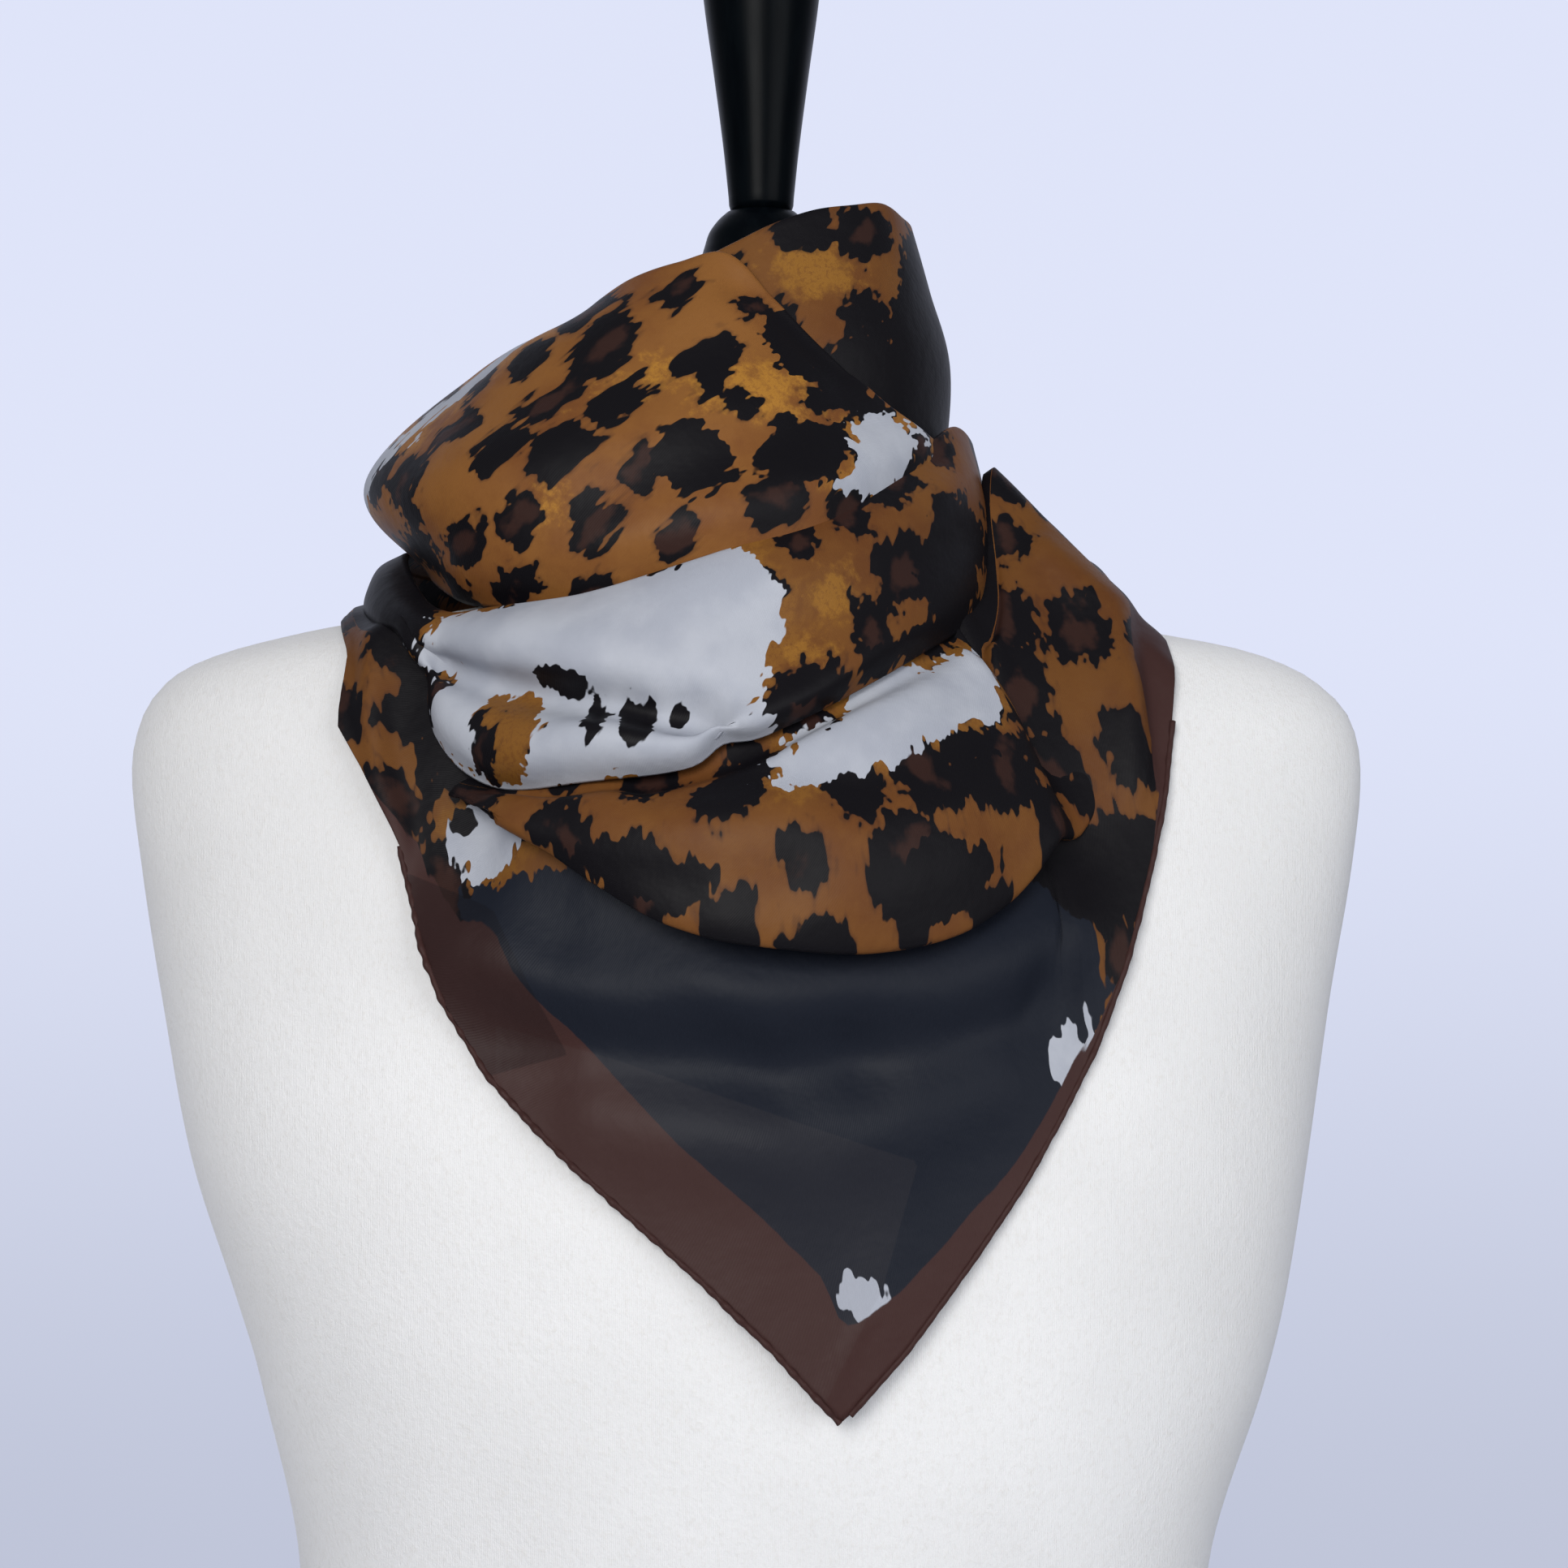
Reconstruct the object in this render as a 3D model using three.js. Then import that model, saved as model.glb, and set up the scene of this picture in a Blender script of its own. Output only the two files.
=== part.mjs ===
// A silk square scarf wound round the neck of a limbless dress form, in millimetres, +Z up.
// The front faces -Y, X runs to the viewer's right, and the origin is the middle of the flat base.
// Angles run round the neck in degrees: 0 in front, 90 to the viewer's right, 180 behind.
import * as THREE from "three";

const CLOTH_WALL = 1.2;
const FORM_FACETS = 48;
const TURNED_FACETS = 28;
const HEM_RADIUS = 1.1;
const HEM_SIDES = 6;
const HEM_GAP = 0.35;
const CORNER_INSET = 2.6;
const CORNER_ANGLE = 11.4;

const JERSEY = { color: 0xe8e4da, roughness: 0.85 };
const BLACK_WOOD = { color: 0x14161a, roughness: 0.3 };
const SILK_PRINT = { color: 0x9a6a35, roughness: 0.5 };
const SILK_DARK = { color: 0x34343a, roughness: 0.5 };
const SILK_BORDER = { color: 0x5b3c34, roughness: 0.5 };

// The form by height: half widths to the viewer's left and right, depths in front and behind,
// and how square the section is.
const TORSO_SECTIONS = [
  [0, 162, 158, 104, 100, 2.1],
  [12, 168, 164, 108, 106, 2.1],
  [70, 177, 171, 112, 114, 2.1],
  [140, 176, 169, 110, 112, 2.15],
  [220, 156, 150, 100, 92, 2.2],
  [300, 146, 141.5, 97, 82, 2.2],
  [366, 158.5, 160, 106, 90, 2.25],
  [391, 166, 166, 108, 95, 2.25],
  [434, 180, 173, 108, 103, 2.25],
  [484, 190, 180.5, 99, 107, 2.2],
  [526, 197, 188, 86, 106, 2.2],
  [556, 200.5, 191, 75, 100, 2.15],
  [573, 197, 187, 68, 94, 2.15],
  [583, 190, 177.5, 64, 90, 2.1],
  [589, 181, 167, 61.5, 87, 2.1],
  [594, 167, 152, 59.5, 84, 2.1],
  [598, 151, 131, 58, 81, 2.05],
  [600.5, 139, 114, 57.2, 79, 2.05],
  [602.5, 126, 100, 56.5, 77, 2],
  [605, 102, 87, 56, 74, 2],
  [609, 84, 76, 55.3, 71, 2],
  [616, 71, 67, 54.5, 66, 2],
  [626, 62, 61, 53.7, 60, 2],
  [640, 56, 56, 52.5, 56, 2],
  [660, 53, 53, 51.2, 52.5, 2],
  [689, 50, 50, 50, 50, 2],
];

// Radius and height of the turned cap and of the spindle that rises out of it.
const CAP_PROFILE = [
  [0, 689.5], [48.5, 689.5], [49.5, 691], [49.5, 694], [48, 699], [43.5, 705], [36, 710], [27, 714],
  [20, 718], [18.4, 722], [16.8, 727], [14, 731], [11.2, 733.6], [0, 733.6],
];
const FINIAL_PROFILE = [
  [0, 734], [9.6, 734], [10.2, 735.2], [10.4, 738], [12.2, 755], [15.2, 778], [18.5, 802], [20.8, 826],
  [21.6, 845], [20.6, 860], [17.4, 871], [12, 878.5], [6, 882], [0, 883],
];

// Each stretch of the scarf has a row for each section round the neck: its angle,
// then the radius and height of each line named above the table, from top to bottom.
// inner collar: angle, then radius and height of rim, lean, belly, foot
const INNER_COLLAR = [
  [-180, 45, 722, 51, 706, 56, 686, 56, 660],
  [-150, 46, 716, 51.4, 700, 55.8, 682.7, 56.2, 660],
  [-120, 50, 704, 51.7, 694, 55.7, 679.3, 56.3, 660],
  [-100, 49.8, 700, 51.9, 690, 55.6, 677.1, 56.4, 660],
  [-88, 49.8, 698.1, 52.3, 688.2, 55.5, 676.1, 56.5, 660],
  [-78, 49.9, 698.8, 52.3, 689.1, 55.8, 676.8, 56.6, 660],
  [-68, 49.9, 699.5, 52.5, 690, 56, 677.5, 56.6, 660],
  [-62, 50, 699.9, 52.6, 690.5, 56.1, 677.9, 56.7, 660],
  [-58, 50, 700.5, 52.7, 690.8, 56.2, 678.1, 56.7, 660],
  [-54, 49.9, 701.4, 52.8, 691.2, 56.3, 678.4, 56.7, 660],
  [-49, 49.8, 702.6, 52.9, 691.6, 56.4, 678.7, 56.7, 660],
  [-40, 49.7, 704.7, 53.1, 693.1, 56.6, 679.3, 56.8, 660],
  [-25, 49.2, 709, 53.4, 696.4, 56.9, 680.3, 56.9, 660],
  [-10, 49, 714.3, 53.8, 699.8, 57.3, 681.3, 56.9, 660],
  [5, 49, 720.2, 54, 702.7, 57.7, 682.2, 57.2, 659.3],
  [20, 49, 724.8, 54, 704.7, 58.4, 682.9, 57.7, 657.3],
  [35, 49, 727.3, 54, 706.7, 59.1, 683.6, 58.2, 655.3],
  [50, 49, 729.4, 53.9, 707.9, 59.5, 684, 58.5, 653.7],
  [65, 48.5, 727.5, 53.8, 707.6, 59.5, 684, 58.5, 652.7],
  [80, 48.1, 727.1, 53.6, 707.2, 59.5, 684, 58.5, 651.7],
  [100, 47, 725, 53.4, 707, 59.2, 684.2, 58.4, 651.9],
  [120, 46, 724, 53.2, 707, 58.5, 684.7, 58.2, 653.7],
  [150, 45, 723, 52.3, 706.7, 57.3, 685.3, 57.3, 656.7],
];

// upper wrap: angle, then radius and height of rim, slope, belly, foot
const UPPER_WRAP = [
  [-180, 64, 696, 72, 682, 84, 656, 80, 632],
  [-150, 68, 697, 80, 682, 100, 652, 90, 626],
  [-120, 70, 696, 90, 680, 117, 649, 101, 622],
  [-100, 69.2, 695.2, 92, 679, 123.8, 646.6, 105, 619.6],
  [-88, 68.6, 694.4, 92.8, 679, 125.3, 645.5, 105.5, 617.1],
  [-78, 67.9, 693.6, 91.6, 679.6, 124.2, 644.6, 104.6, 614.1],
  [-68, 67.3, 692.8, 89.6, 680.4, 120.2, 642.6, 102.6, 609.6],
  [-62, 66.9, 692.7, 88.4, 680.8, 117.8, 641.4, 101.4, 606.9],
  [-58, 66, 694.7, 87.3, 681.1, 115.8, 640.8, 100.6, 605.6],
  [-54, 65.2, 696.8, 85.8, 681.2, 113.4, 640.4, 99.8, 604.8],
  [-49, 64.1, 699.4, 84, 681.4, 110.4, 639.9, 98.8, 603.8],
  [-40, 62.1, 703.5, 80.7, 681.7, 105, 639, 97, 602],
  [-25, 59.2, 707.7, 75.5, 682.5, 96.8, 638.5, 94, 600],
  [-10, 58.4, 709.8, 71, 684, 90, 640, 91, 600],
  [5, 60.5, 696.7, 67.5, 680, 84, 642, 88, 602],
  [20, 62.6, 680.3, 67, 668, 77, 643, 82, 608],
  [35, 63.9, 666.3, 67.5, 655, 72, 640, 77, 618],
  [50, 65.5, 655.6, 67, 649, 69.4, 640, 72, 628],
  [65, 64.8, 655.2, 66, 647, 67.5, 641, 68.5, 634],
  [80, 64, 655, 65.2, 648, 66.2, 642, 66.6, 636],
  [100, 63.8, 657, 65, 650, 66.5, 642, 66.8, 636],
  [120, 63.5, 668, 66.5, 656, 70, 645, 70, 634],
  [150, 63, 688, 68, 670, 76, 650, 76, 632],
];

// middle wrap: angle, then radius and height of rim, upper, crease, roll, under
const MIDDLE_WRAP = [
  [-180, 87, 631, 89, 625, 90, 620, 91, 615, 88, 611],
  [-150, 99, 626, 102, 617, 104, 612.5, 105.5, 609, 103, 606.5],
  [-120, 110, 623, 116.5, 619, 121, 612, 121.5, 607, 119.5, 604.6],
  [-100, 114.5, 624.5, 122, 620, 125.6, 613, 126.6, 608, 125, 605],
  [-88, 114, 624.5, 121.5, 620, 124.8, 612.5, 125.6, 607, 125, 604.6],
  [-78, 114, 620, 121.3, 616, 124.8, 609.5, 125.6, 604.7, 124.5, 602.7],
  [-68, 113.5, 610.5, 120.5, 608, 124, 603.5, 124.3, 600, 122, 597.8],
  [-62, 112.3, 603.9, 118.5, 602.5, 120.3, 600, 120.8, 597.6, 118.8, 595.6],
  [-58, 109.7, 601.5, 117.6, 596.8, 117.3, 592.7, 118.9, 589, 116.7, 582.9],
  [-54, 108.3, 601.2, 116, 593.3, 114.4, 585.6, 118.7, 580.9, 116, 566.5],
  [-49, 107, 602.1, 114.1, 593, 112.7, 582.5, 118.7, 570.3, 115.3, 556],
  [-40, 104.8, 604, 112.8, 592.4, 111, 578.4, 118.8, 560.6, 113.1, 550],
  [-25, 100.9, 609.2, 109.4, 593, 110.9, 574.3, 117.7, 564, 111, 552.6],
  [-10, 96.4, 616.3, 104.5, 598.2, 109.8, 572.7, 116.5, 563.8, 109.2, 557.8],
  [5, 89.3, 624.9, 97.1, 607.3, 103.4, 586.1, 109.2, 574.4, 103.8, 568.5],
  [20, 81.4, 634.9, 87.7, 620.2, 94.5, 602.4, 99.1, 589.1, 95.2, 580.5],
  [35, 75.1, 644.6, 79.9, 632.6, 85, 616.5, 89.7, 601.1, 87.2, 590.8],
  [50, 70.3, 655, 75.4, 643.1, 78.8, 628.3, 82.9, 610.9, 82, 599.6],
  [65, 69.3, 659.1, 72.2, 651.4, 75.2, 635.6, 77.6, 622.7, 78.3, 609.1],
  [80, 69, 662, 70.6, 650, 72.4, 637, 74.8, 624, 74, 619],
  [100, 69.6, 655, 71.4, 646, 73.4, 634, 76, 622, 75.5, 617],
  [120, 74, 645, 76, 638, 79, 630, 82, 620, 79, 615],
  [150, 82, 636, 85, 630, 88, 624, 91, 617, 88, 613],
];

// outer drape: angle, then radius and height of rim, turn, swell, hollow, lap, hem
const OUTER_DRAPE = [
  [-180, 93, 621, 93.7, 618.4, 95.1, 613.3, 96.4, 608.7, 97.7, 603.8, 99, 599],
  [-150, 108, 613, 109, 611.6, 110.8, 609, 112.5, 606.6, 114.2, 604, 116, 601.5],
  [-120, 124.5, 609.8, 125.2, 609.1, 126.4, 607.9, 127.6, 606.7, 128.8, 605.5, 130, 604.3],
  [-104, 129.6, 609.3, 130.1, 608.8, 131, 607.8, 131.8, 606.9, 132.6, 605.9, 133.5, 605],
  [-90, 129, 607.6, 129.4, 607.2, 130.2, 606.3, 130.8, 605.6, 131.6, 604.8, 132.3, 604],
  [-80, 129.6, 604.5, 130, 604.1, 130.8, 603.5, 131.5, 602.8, 132.3, 602.2, 133, 601.5],
  [-74, 129.5, 600, 130, 599.7, 130.9, 599, 131.8, 598.4, 132.7, 597.8, 133.5, 597.2],
  [-69, 128, 596.3, 128.7, 595.6, 129.9, 594.3, 131.1, 593.1, 132.3, 591.8, 133.6, 590.5],
  [-64, 121.5, 592.5, 123.8, 589.7, 128.2, 584.3, 132.2, 579.4, 136.4, 574.2, 140.6, 569.1],
  [-60, 113, 586, 116.5, 582.4, 121.4, 575.4, 125.9, 569, 131, 562.3, 136, 555.6],
  [-54, 111.2, 568, 115.2, 563.9, 119.5, 556, 122.7, 548.8, 126.2, 541.2, 130.4, 533.7],
  [-49, 108.2, 557, 112.8, 551.1, 117.8, 539.7, 122.3, 529.4, 126.3, 518.5, 129.8, 507.6],
  [-44, 108, 549, 110.5, 541.5, 115.7, 527.2, 120.2, 514.1, 124.6, 500.3, 128.8, 486.6],
  [-38, 113, 542, 114.6, 532.2, 117.6, 514.2, 120.2, 498.4, 122.8, 483.1, 125.4, 467.7],
  [-28, 111, 536, 112.5, 519.7, 114.8, 494.9, 116.4, 477.8, 117.8, 462.5, 120.1, 447.2],
  [-18, 109, 531, 110, 516.2, 111.5, 494, 112.6, 477, 114.2, 453.3, 116.5, 429.5],
  [-8, 108, 529, 108.8, 515, 109.9, 494, 110.8, 477, 112.6, 444.5, 115, 412.1],
  [2, 107.5, 528, 108.3, 513.2, 109.4, 494, 110.4, 477, 112.7, 435.1, 115.9, 393.2],
  [11.4, 107.5, 529.1, 108.6, 511.8, 109.7, 494, 110.7, 476.8, 113.9, 424.6, 118.1, 372.3],
  [20, 108, 531, 109.3, 515.7, 111.1, 494, 112.5, 477, 117.1, 434.6, 120.9, 392.1],
  [29, 109, 536, 111, 519.2, 116, 494, 116, 477, 120.4, 447, 124.6, 417.1],
  [36, 108, 542, 111.2, 524.5, 119.8, 496.9, 120.6, 478.7, 124.3, 458.4, 128.4, 438.2],
  [41, 106.3, 550.3, 110, 535.2, 119, 509.3, 123.1, 490.2, 126.9, 472.6, 130.5, 454.9],
  [44, 105, 556, 108.6, 544, 117.3, 522, 122.8, 503.2, 128.3, 484.6, 132.1, 466],
  [46.5, 92, 586, 97.5, 583.5, 109.9, 547.4, 119.5, 524.3, 127.1, 500, 133.8, 475.8],
  [51, 89.8, 593.5, 95.3, 591, 111.2, 559.6, 120.4, 539.2, 128.5, 517.8, 135.7, 496.5],
  [57, 86.6, 604.3, 92.1, 601.8, 115, 577.3, 124.5, 561.1, 130.9, 544.1, 137.2, 527.1],
  [62, 82.5, 615.9, 88, 613.4, 111.7, 594.5, 124.5, 581.6, 131.4, 568.2, 137.5, 554.7],
  [68, 77.1, 635.7, 84.1, 629.6, 97.5, 618, 109.7, 607.3, 122.6, 596.2, 135.4, 585],
  [74, 75.4, 649, 81.9, 642.6, 94.3, 630.2, 105.7, 618.9, 117.6, 607.1, 129.5, 595.3],
  [80, 76, 649, 81.1, 643.5, 90.9, 633, 99.9, 623.4, 109.3, 613.3, 118.7, 603.2],
  [87, 77, 647.6, 83, 641.5, 88, 634, 94, 626.5, 103, 619.5, 112.1, 611.8],
  [95, 78.3, 646, 82, 641.5, 86.5, 634.5, 91, 628, 98, 622, 108, 617],
  [110, 81, 642, 84, 638.8, 89.7, 632.6, 94.9, 627, 100.4, 621, 105.9, 615.1],
  [130, 85.2, 634.4, 87.3, 631.4, 91.3, 625.6, 95, 620.4, 98.8, 614.8, 102.7, 609.3],
  [155, 90.5, 626.8, 91.6, 624, 93.8, 618.5, 95.7, 613.6, 97.8, 608.4, 99.8, 603.2],
];

// front cowl: angle, then radius and height of rim, throat, brow, belly, fold, under
const FRONT_COWL = [
  [-47.5, 118.8, 550.8, 119.6, 550.4, 120.4, 549.8, 121.2, 548.9, 121.6, 547.8, 114.6, 547.5],
  [-44, 110.7, 548, 114.5, 547.2, 118.6, 546.3, 121.3, 545, 121.5, 547.1, 114.5, 546.8],
  [-39, 106, 557.2, 113.2, 545.8, 118.5, 545.8, 122.3, 542.5, 121.5, 543.4, 114.5, 543.1],
  [-31, 104.8, 558.6, 112, 547.2, 118.5, 545.5, 124.2, 538.2, 122.8, 532.5, 115.8, 532.2],
  [-22, 103.6, 560.6, 110.8, 549.2, 118.2, 546.3, 126.4, 533.3, 124.7, 522.3, 117.7, 522],
  [-12, 102.4, 564.1, 109.6, 552.7, 117.5, 548.8, 127.8, 530.4, 126.7, 513.2, 119.7, 512.9],
  [-2, 99.3, 570.5, 106.5, 559.1, 115.4, 553.8, 127.9, 529.4, 127.8, 508.7, 120.8, 508.4],
  [8, 95.1, 577.9, 102.3, 566.5, 111.9, 561.7, 126.8, 532.7, 128, 506.9, 121, 506.6],
  [18, 89.3, 585.9, 96.5, 574.5, 107.6, 569.5, 124.7, 537.3, 127.4, 507.7, 120.4, 507.4],
  [27, 84.5, 592.3, 91.7, 580.9, 103.6, 574.5, 122, 543.3, 126.7, 511.6, 119.7, 511.3],
  [34, 80.7, 597.1, 87.9, 585.7, 100.4, 577.3, 121.6, 545.5, 126.1, 518.6, 119.1, 518.3],
  [39, 78.8, 600.1, 86, 588.7, 98, 579, 122.5, 545, 126, 526.1, 119, 525.8],
  [43.2, 77.4, 597.6, 84.6, 590.2, 97.5, 579, 123.4, 544.1, 126.3, 534.7, 119.3, 534.4],
  [45, 112, 559, 113.5, 557.5, 115, 554, 123.8, 543.7, 126.5, 538.4, 119.5, 538.1],
  [47, 116.5, 555.2, 117.7, 553.8, 118.8, 551, 124, 543.8, 126.5, 538.4, 119.5, 538.1],
  [49, 121, 551.5, 121.8, 550, 122.5, 548, 124, 544.5, 126.5, 538.4, 119.8, 538.1],
];

// A curve through the values at the given stations, with slopes from both neighbours.
function smoothAt(stations, values, at) {
  let i = 0;
  while (i < stations.length - 2 && at > stations[i + 1]) i += 1;
  const slope = (k) => {
    const a = Math.max(k - 1, 0);
    const b = Math.min(k + 1, stations.length - 1);
    return (values[b] - values[a]) / (stations[b] - stations[a]);
  };
  const span = stations[i + 1] - stations[i];
  const t = (at - stations[i]) / span;
  const t2 = t * t;
  const t3 = t2 * t;
  return (
    (2 * t3 - 3 * t2 + 1) * values[i] +
    (t3 - 2 * t2 + t) * span * slope(i) +
    (-2 * t3 + 3 * t2) * values[i + 1] +
    (t3 - t2) * span * slope(i + 1)
  );
}

// The rows of a closed ring, repeated a little past both ends so that its curves join up.
function wrapRows(rows) {
  const before = rows.slice(-3).map((row) => [row[0] - 360, ...row.slice(1)]);
  const after = rows.slice(0, 3).map((row) => [row[0] + 360, ...row.slice(1)]);
  return [...before, ...rows, ...after];
}

// Angles at which a stretch is cut: each gap between two rows is split evenly.
function stationsOf(rows, closed, step) {
  const list = [];
  const last = closed ? rows[0][0] + 360 : rows[rows.length - 1][0];
  const ends = [...rows.map((row) => row[0]), ...(closed ? [last] : [])];
  for (let i = 0; i + 1 < ends.length; i += 1) {
    const parts = Math.max(1, Math.round((ends[i + 1] - ends[i]) / step));
    for (let k = 0; k < parts; k += 1) list.push(ends[i] + ((ends[i + 1] - ends[i]) * k) / parts);
  }
  if (!closed) list.push(last);
  return list;
}

// The middle surface of a stretch as a grid of points, one line of points for each angle.
function stretchGrid(rows, { closed, step, across, straight = [] }) {
  const all = closed ? wrapRows(rows) : rows;
  const angles = all.map((row) => row[0]);
  const lines = (all[0].length - 1) / 2;
  return stationsOf(rows, closed, step).map((at) => {
    const section = [];
    for (let k = 0; k < lines; k += 1) {
      const pair = [1 + 2 * k, 2 + 2 * k].map((column) => {
        const values = all.map((row) => row[column]);
        return straight.includes(k) ? straightAt(angles, values, at) : smoothAt(angles, values, at);
      });
      section.push(pair);
    }
    return sectionPoints(section, across, at);
  });
}

function straightAt(stations, values, at) {
  let i = 0;
  while (i < stations.length - 2 && at > stations[i + 1]) i += 1;
  const t = (at - stations[i]) / (stations[i + 1] - stations[i]);
  return values[i] + (values[i + 1] - values[i]) * t;
}

// Points along one section, placed round the neck at its angle.
function sectionPoints(section, across, at) {
  const stations = section.map((_, k) => k);
  const turn = THREE.MathUtils.degToRad(at);
  const points = [];
  for (let j = 0; j <= across; j += 1) {
    const s = (j / across) * (section.length - 1);
    const radius = smoothAt(stations, section.map((pair) => pair[0]), s);
    const height = smoothAt(stations, section.map((pair) => pair[1]), s);
    points.push(new THREE.Vector3(radius * Math.sin(turn), -radius * Math.cos(turn), height));
  }
  return points;
}

// Unit normals of a grid, pointing away from the neck.
function gridNormals(grid, closed) {
  const n = grid.length;
  return grid.map((line, i) =>
    line.map((_, j) => {
      const next = grid[closed ? (i + 1) % n : Math.min(i + 1, n - 1)][j];
      const past = grid[closed ? (i + n - 1) % n : Math.max(i - 1, 0)][j];
      const below = line[Math.min(j + 1, line.length - 1)];
      const above = line[Math.max(j - 1, 0)];
      const along = next.clone().sub(past);
      const down = below.clone().sub(above);
      return down.cross(along).normalize();
    }),
  );
}

// A closed wall of the given thickness about a grid of points.
function wallGeometry(grid, closed, wall) {
  const normals = gridNormals(grid, closed);
  const n = grid.length;
  const m = grid[0].length;
  const positions = [];
  for (const side of [0.5, -0.5]) {
    grid.forEach((line, i) =>
      line.forEach((point, j) => {
        const moved = point.clone().addScaledVector(normals[i][j], side * wall);
        positions.push(moved.x, moved.y, moved.z);
      }),
    );
  }
  const outer = (i, j) => (i % n) * m + j;
  const inner = (i, j) => n * m + (i % n) * m + j;
  const faces = [];
  const quad = (a, b, c, d) => faces.push(a, b, c, a, c, d);
  const spans = closed ? n : n - 1;
  for (let i = 0; i < spans; i += 1) {
    for (let j = 0; j + 1 < m; j += 1) {
      quad(outer(i, j), outer(i, j + 1), outer(i + 1, j + 1), outer(i + 1, j));
      quad(inner(i, j), inner(i + 1, j), inner(i + 1, j + 1), inner(i, j + 1));
    }
    quad(outer(i, 0), outer(i + 1, 0), inner(i + 1, 0), inner(i, 0));
    quad(outer(i, m - 1), inner(i, m - 1), inner(i + 1, m - 1), outer(i + 1, m - 1));
  }
  if (!closed) {
    for (let j = 0; j + 1 < m; j += 1) {
      quad(outer(0, j), inner(0, j), inner(0, j + 1), outer(0, j + 1));
      quad(outer(n - 1, j), outer(n - 1, j + 1), inner(n - 1, j + 1), inner(n - 1, j));
    }
  }
  const geometry = new THREE.BufferGeometry();
  geometry.setAttribute("position", new THREE.Float32BufferAttribute(positions, 3));
  geometry.setIndex(faces);
  return geometry;
}

function stretch(name, rows, options, finish) {
  const grid = stretchGrid(rows, options);
  return named(name, wallGeometry(grid, options.closed, CLOTH_WALL), finish);
}

// The form's section at one height: four quarters of a squared ellipse.
function torsoRing([z, left, right, front, back, power]) {
  const ring = [];
  for (let i = 0; i < FORM_FACETS; i += 1) {
    const turn = (2 * Math.PI * i) / FORM_FACETS;
    const s = Math.sin(turn);
    const c = Math.cos(turn);
    const x = Math.sign(s) * Math.abs(s) ** (2 / power) * (s > 0 ? right : left);
    const y = -Math.sign(c) * Math.abs(c) ** (2 / power) * (c > 0 ? front : back);
    ring.push([x, y, z]);
  }
  return ring;
}

// A solid skinned over rings, with flat faces at its foot and top.
function skinned(rings) {
  const n = rings[0].length;
  const positions = rings.flat(2);
  const faces = [];
  for (let k = 0; k + 1 < rings.length; k += 1) {
    for (let i = 0; i < n; i += 1) {
      const a = k * n + i;
      const b = k * n + ((i + 1) % n);
      faces.push(a, b, b + n, a, b + n, a + n);
    }
  }
  const top = (rings.length - 1) * n;
  for (let i = 1; i + 1 < n; i += 1) {
    faces.push(0, i + 1, i);
    faces.push(top, top + i, top + i + 1);
  }
  const geometry = new THREE.BufferGeometry();
  geometry.setAttribute("position", new THREE.Float32BufferAttribute(positions, 3));
  geometry.setIndex(faces);
  return geometry;
}

// The rolled hem beside the lower edge of a stretch, from one angle to another. Where it meets
// the corner of the cloth it stops short, so that the two hems stay apart.
function rolledHem(name, rows, options, from, to, finish) {
  const angles = stationsOf(rows, options.closed, options.step);
  const grid = stretchGrid(rows, options);
  const normals = gridNormals(grid, options.closed);
  const picked = angles.map((_, i) => i).filter((i) => angles[i] >= from && angles[i] <= to);
  const edge = picked.map((i) => grid[i][grid[i].length - 1]);
  const rings = picked.map((i, k) => {
    const ahead = edge[Math.min(k + 1, edge.length - 1)];
    const behind = edge[Math.max(k - 1, 0)];
    const along = ahead.clone().sub(behind).normalize();
    const normal = normals[i][grid[i].length - 1];
    const outward = along.clone().cross(normal).normalize();
    const centre = edge[k].clone().addScaledVector(outward, HEM_RADIUS + HEM_GAP);
    if (angles[i] === CORNER_ANGLE) centre.addScaledVector(along, k === 0 ? CORNER_INSET : -CORNER_INSET);
    return Array.from({ length: HEM_SIDES }, (_, side) => {
      const turn = (2 * Math.PI * side) / HEM_SIDES;
      const point = centre.clone();
      point.addScaledVector(outward, HEM_RADIUS * Math.cos(turn));
      point.addScaledVector(normal, -HEM_RADIUS * Math.sin(turn));
      return point.toArray();
    });
  });
  return named(name, skinned(rings), finish);
}

function turned(name, profile, finish) {
  const points = profile.map(([radius, height]) => new THREE.Vector2(radius, height));
  const geometry = new THREE.LatheGeometry(points, TURNED_FACETS);
  geometry.rotateX(Math.PI / 2);
  return named(name, geometry, finish);
}

function named(name, geometry, finish) {
  const mesh = new THREE.Mesh(geometry, new THREE.MeshStandardMaterial(finish));
  mesh.name = name;
  return mesh;
}

const COLLAR_CUT = { closed: true, step: 10, across: 6 };
const UPPER_CUT = { closed: true, step: 7, across: 9 };
const MIDDLE_CUT = { closed: true, step: 7, across: 8 };
const COWL_CUT = { closed: false, step: 5, across: 10 };
const DRAPE_CUT = { closed: true, step: 6, across: 10, straight: [5] };

const scarf = new THREE.Group();
scarf.add(named("torso", skinned(TORSO_SECTIONS.map(torsoRing)), JERSEY));
scarf.add(turned("neck_cap", CAP_PROFILE, BLACK_WOOD));
scarf.add(turned("finial", FINIAL_PROFILE, BLACK_WOOD));
scarf.add(stretch("inner_collar", INNER_COLLAR, COLLAR_CUT, SILK_DARK));
scarf.add(stretch("upper_wrap", UPPER_WRAP, UPPER_CUT, SILK_PRINT));
scarf.add(stretch("middle_wrap", MIDDLE_WRAP, MIDDLE_CUT, SILK_PRINT));
scarf.add(stretch("front_cowl", FRONT_COWL, COWL_CUT, SILK_PRINT));
scarf.add(stretch("outer_drape", OUTER_DRAPE, DRAPE_CUT, SILK_DARK));
scarf.add(rolledHem("left_hem", OUTER_DRAPE, DRAPE_CUT, -54, CORNER_ANGLE, SILK_BORDER));
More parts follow.
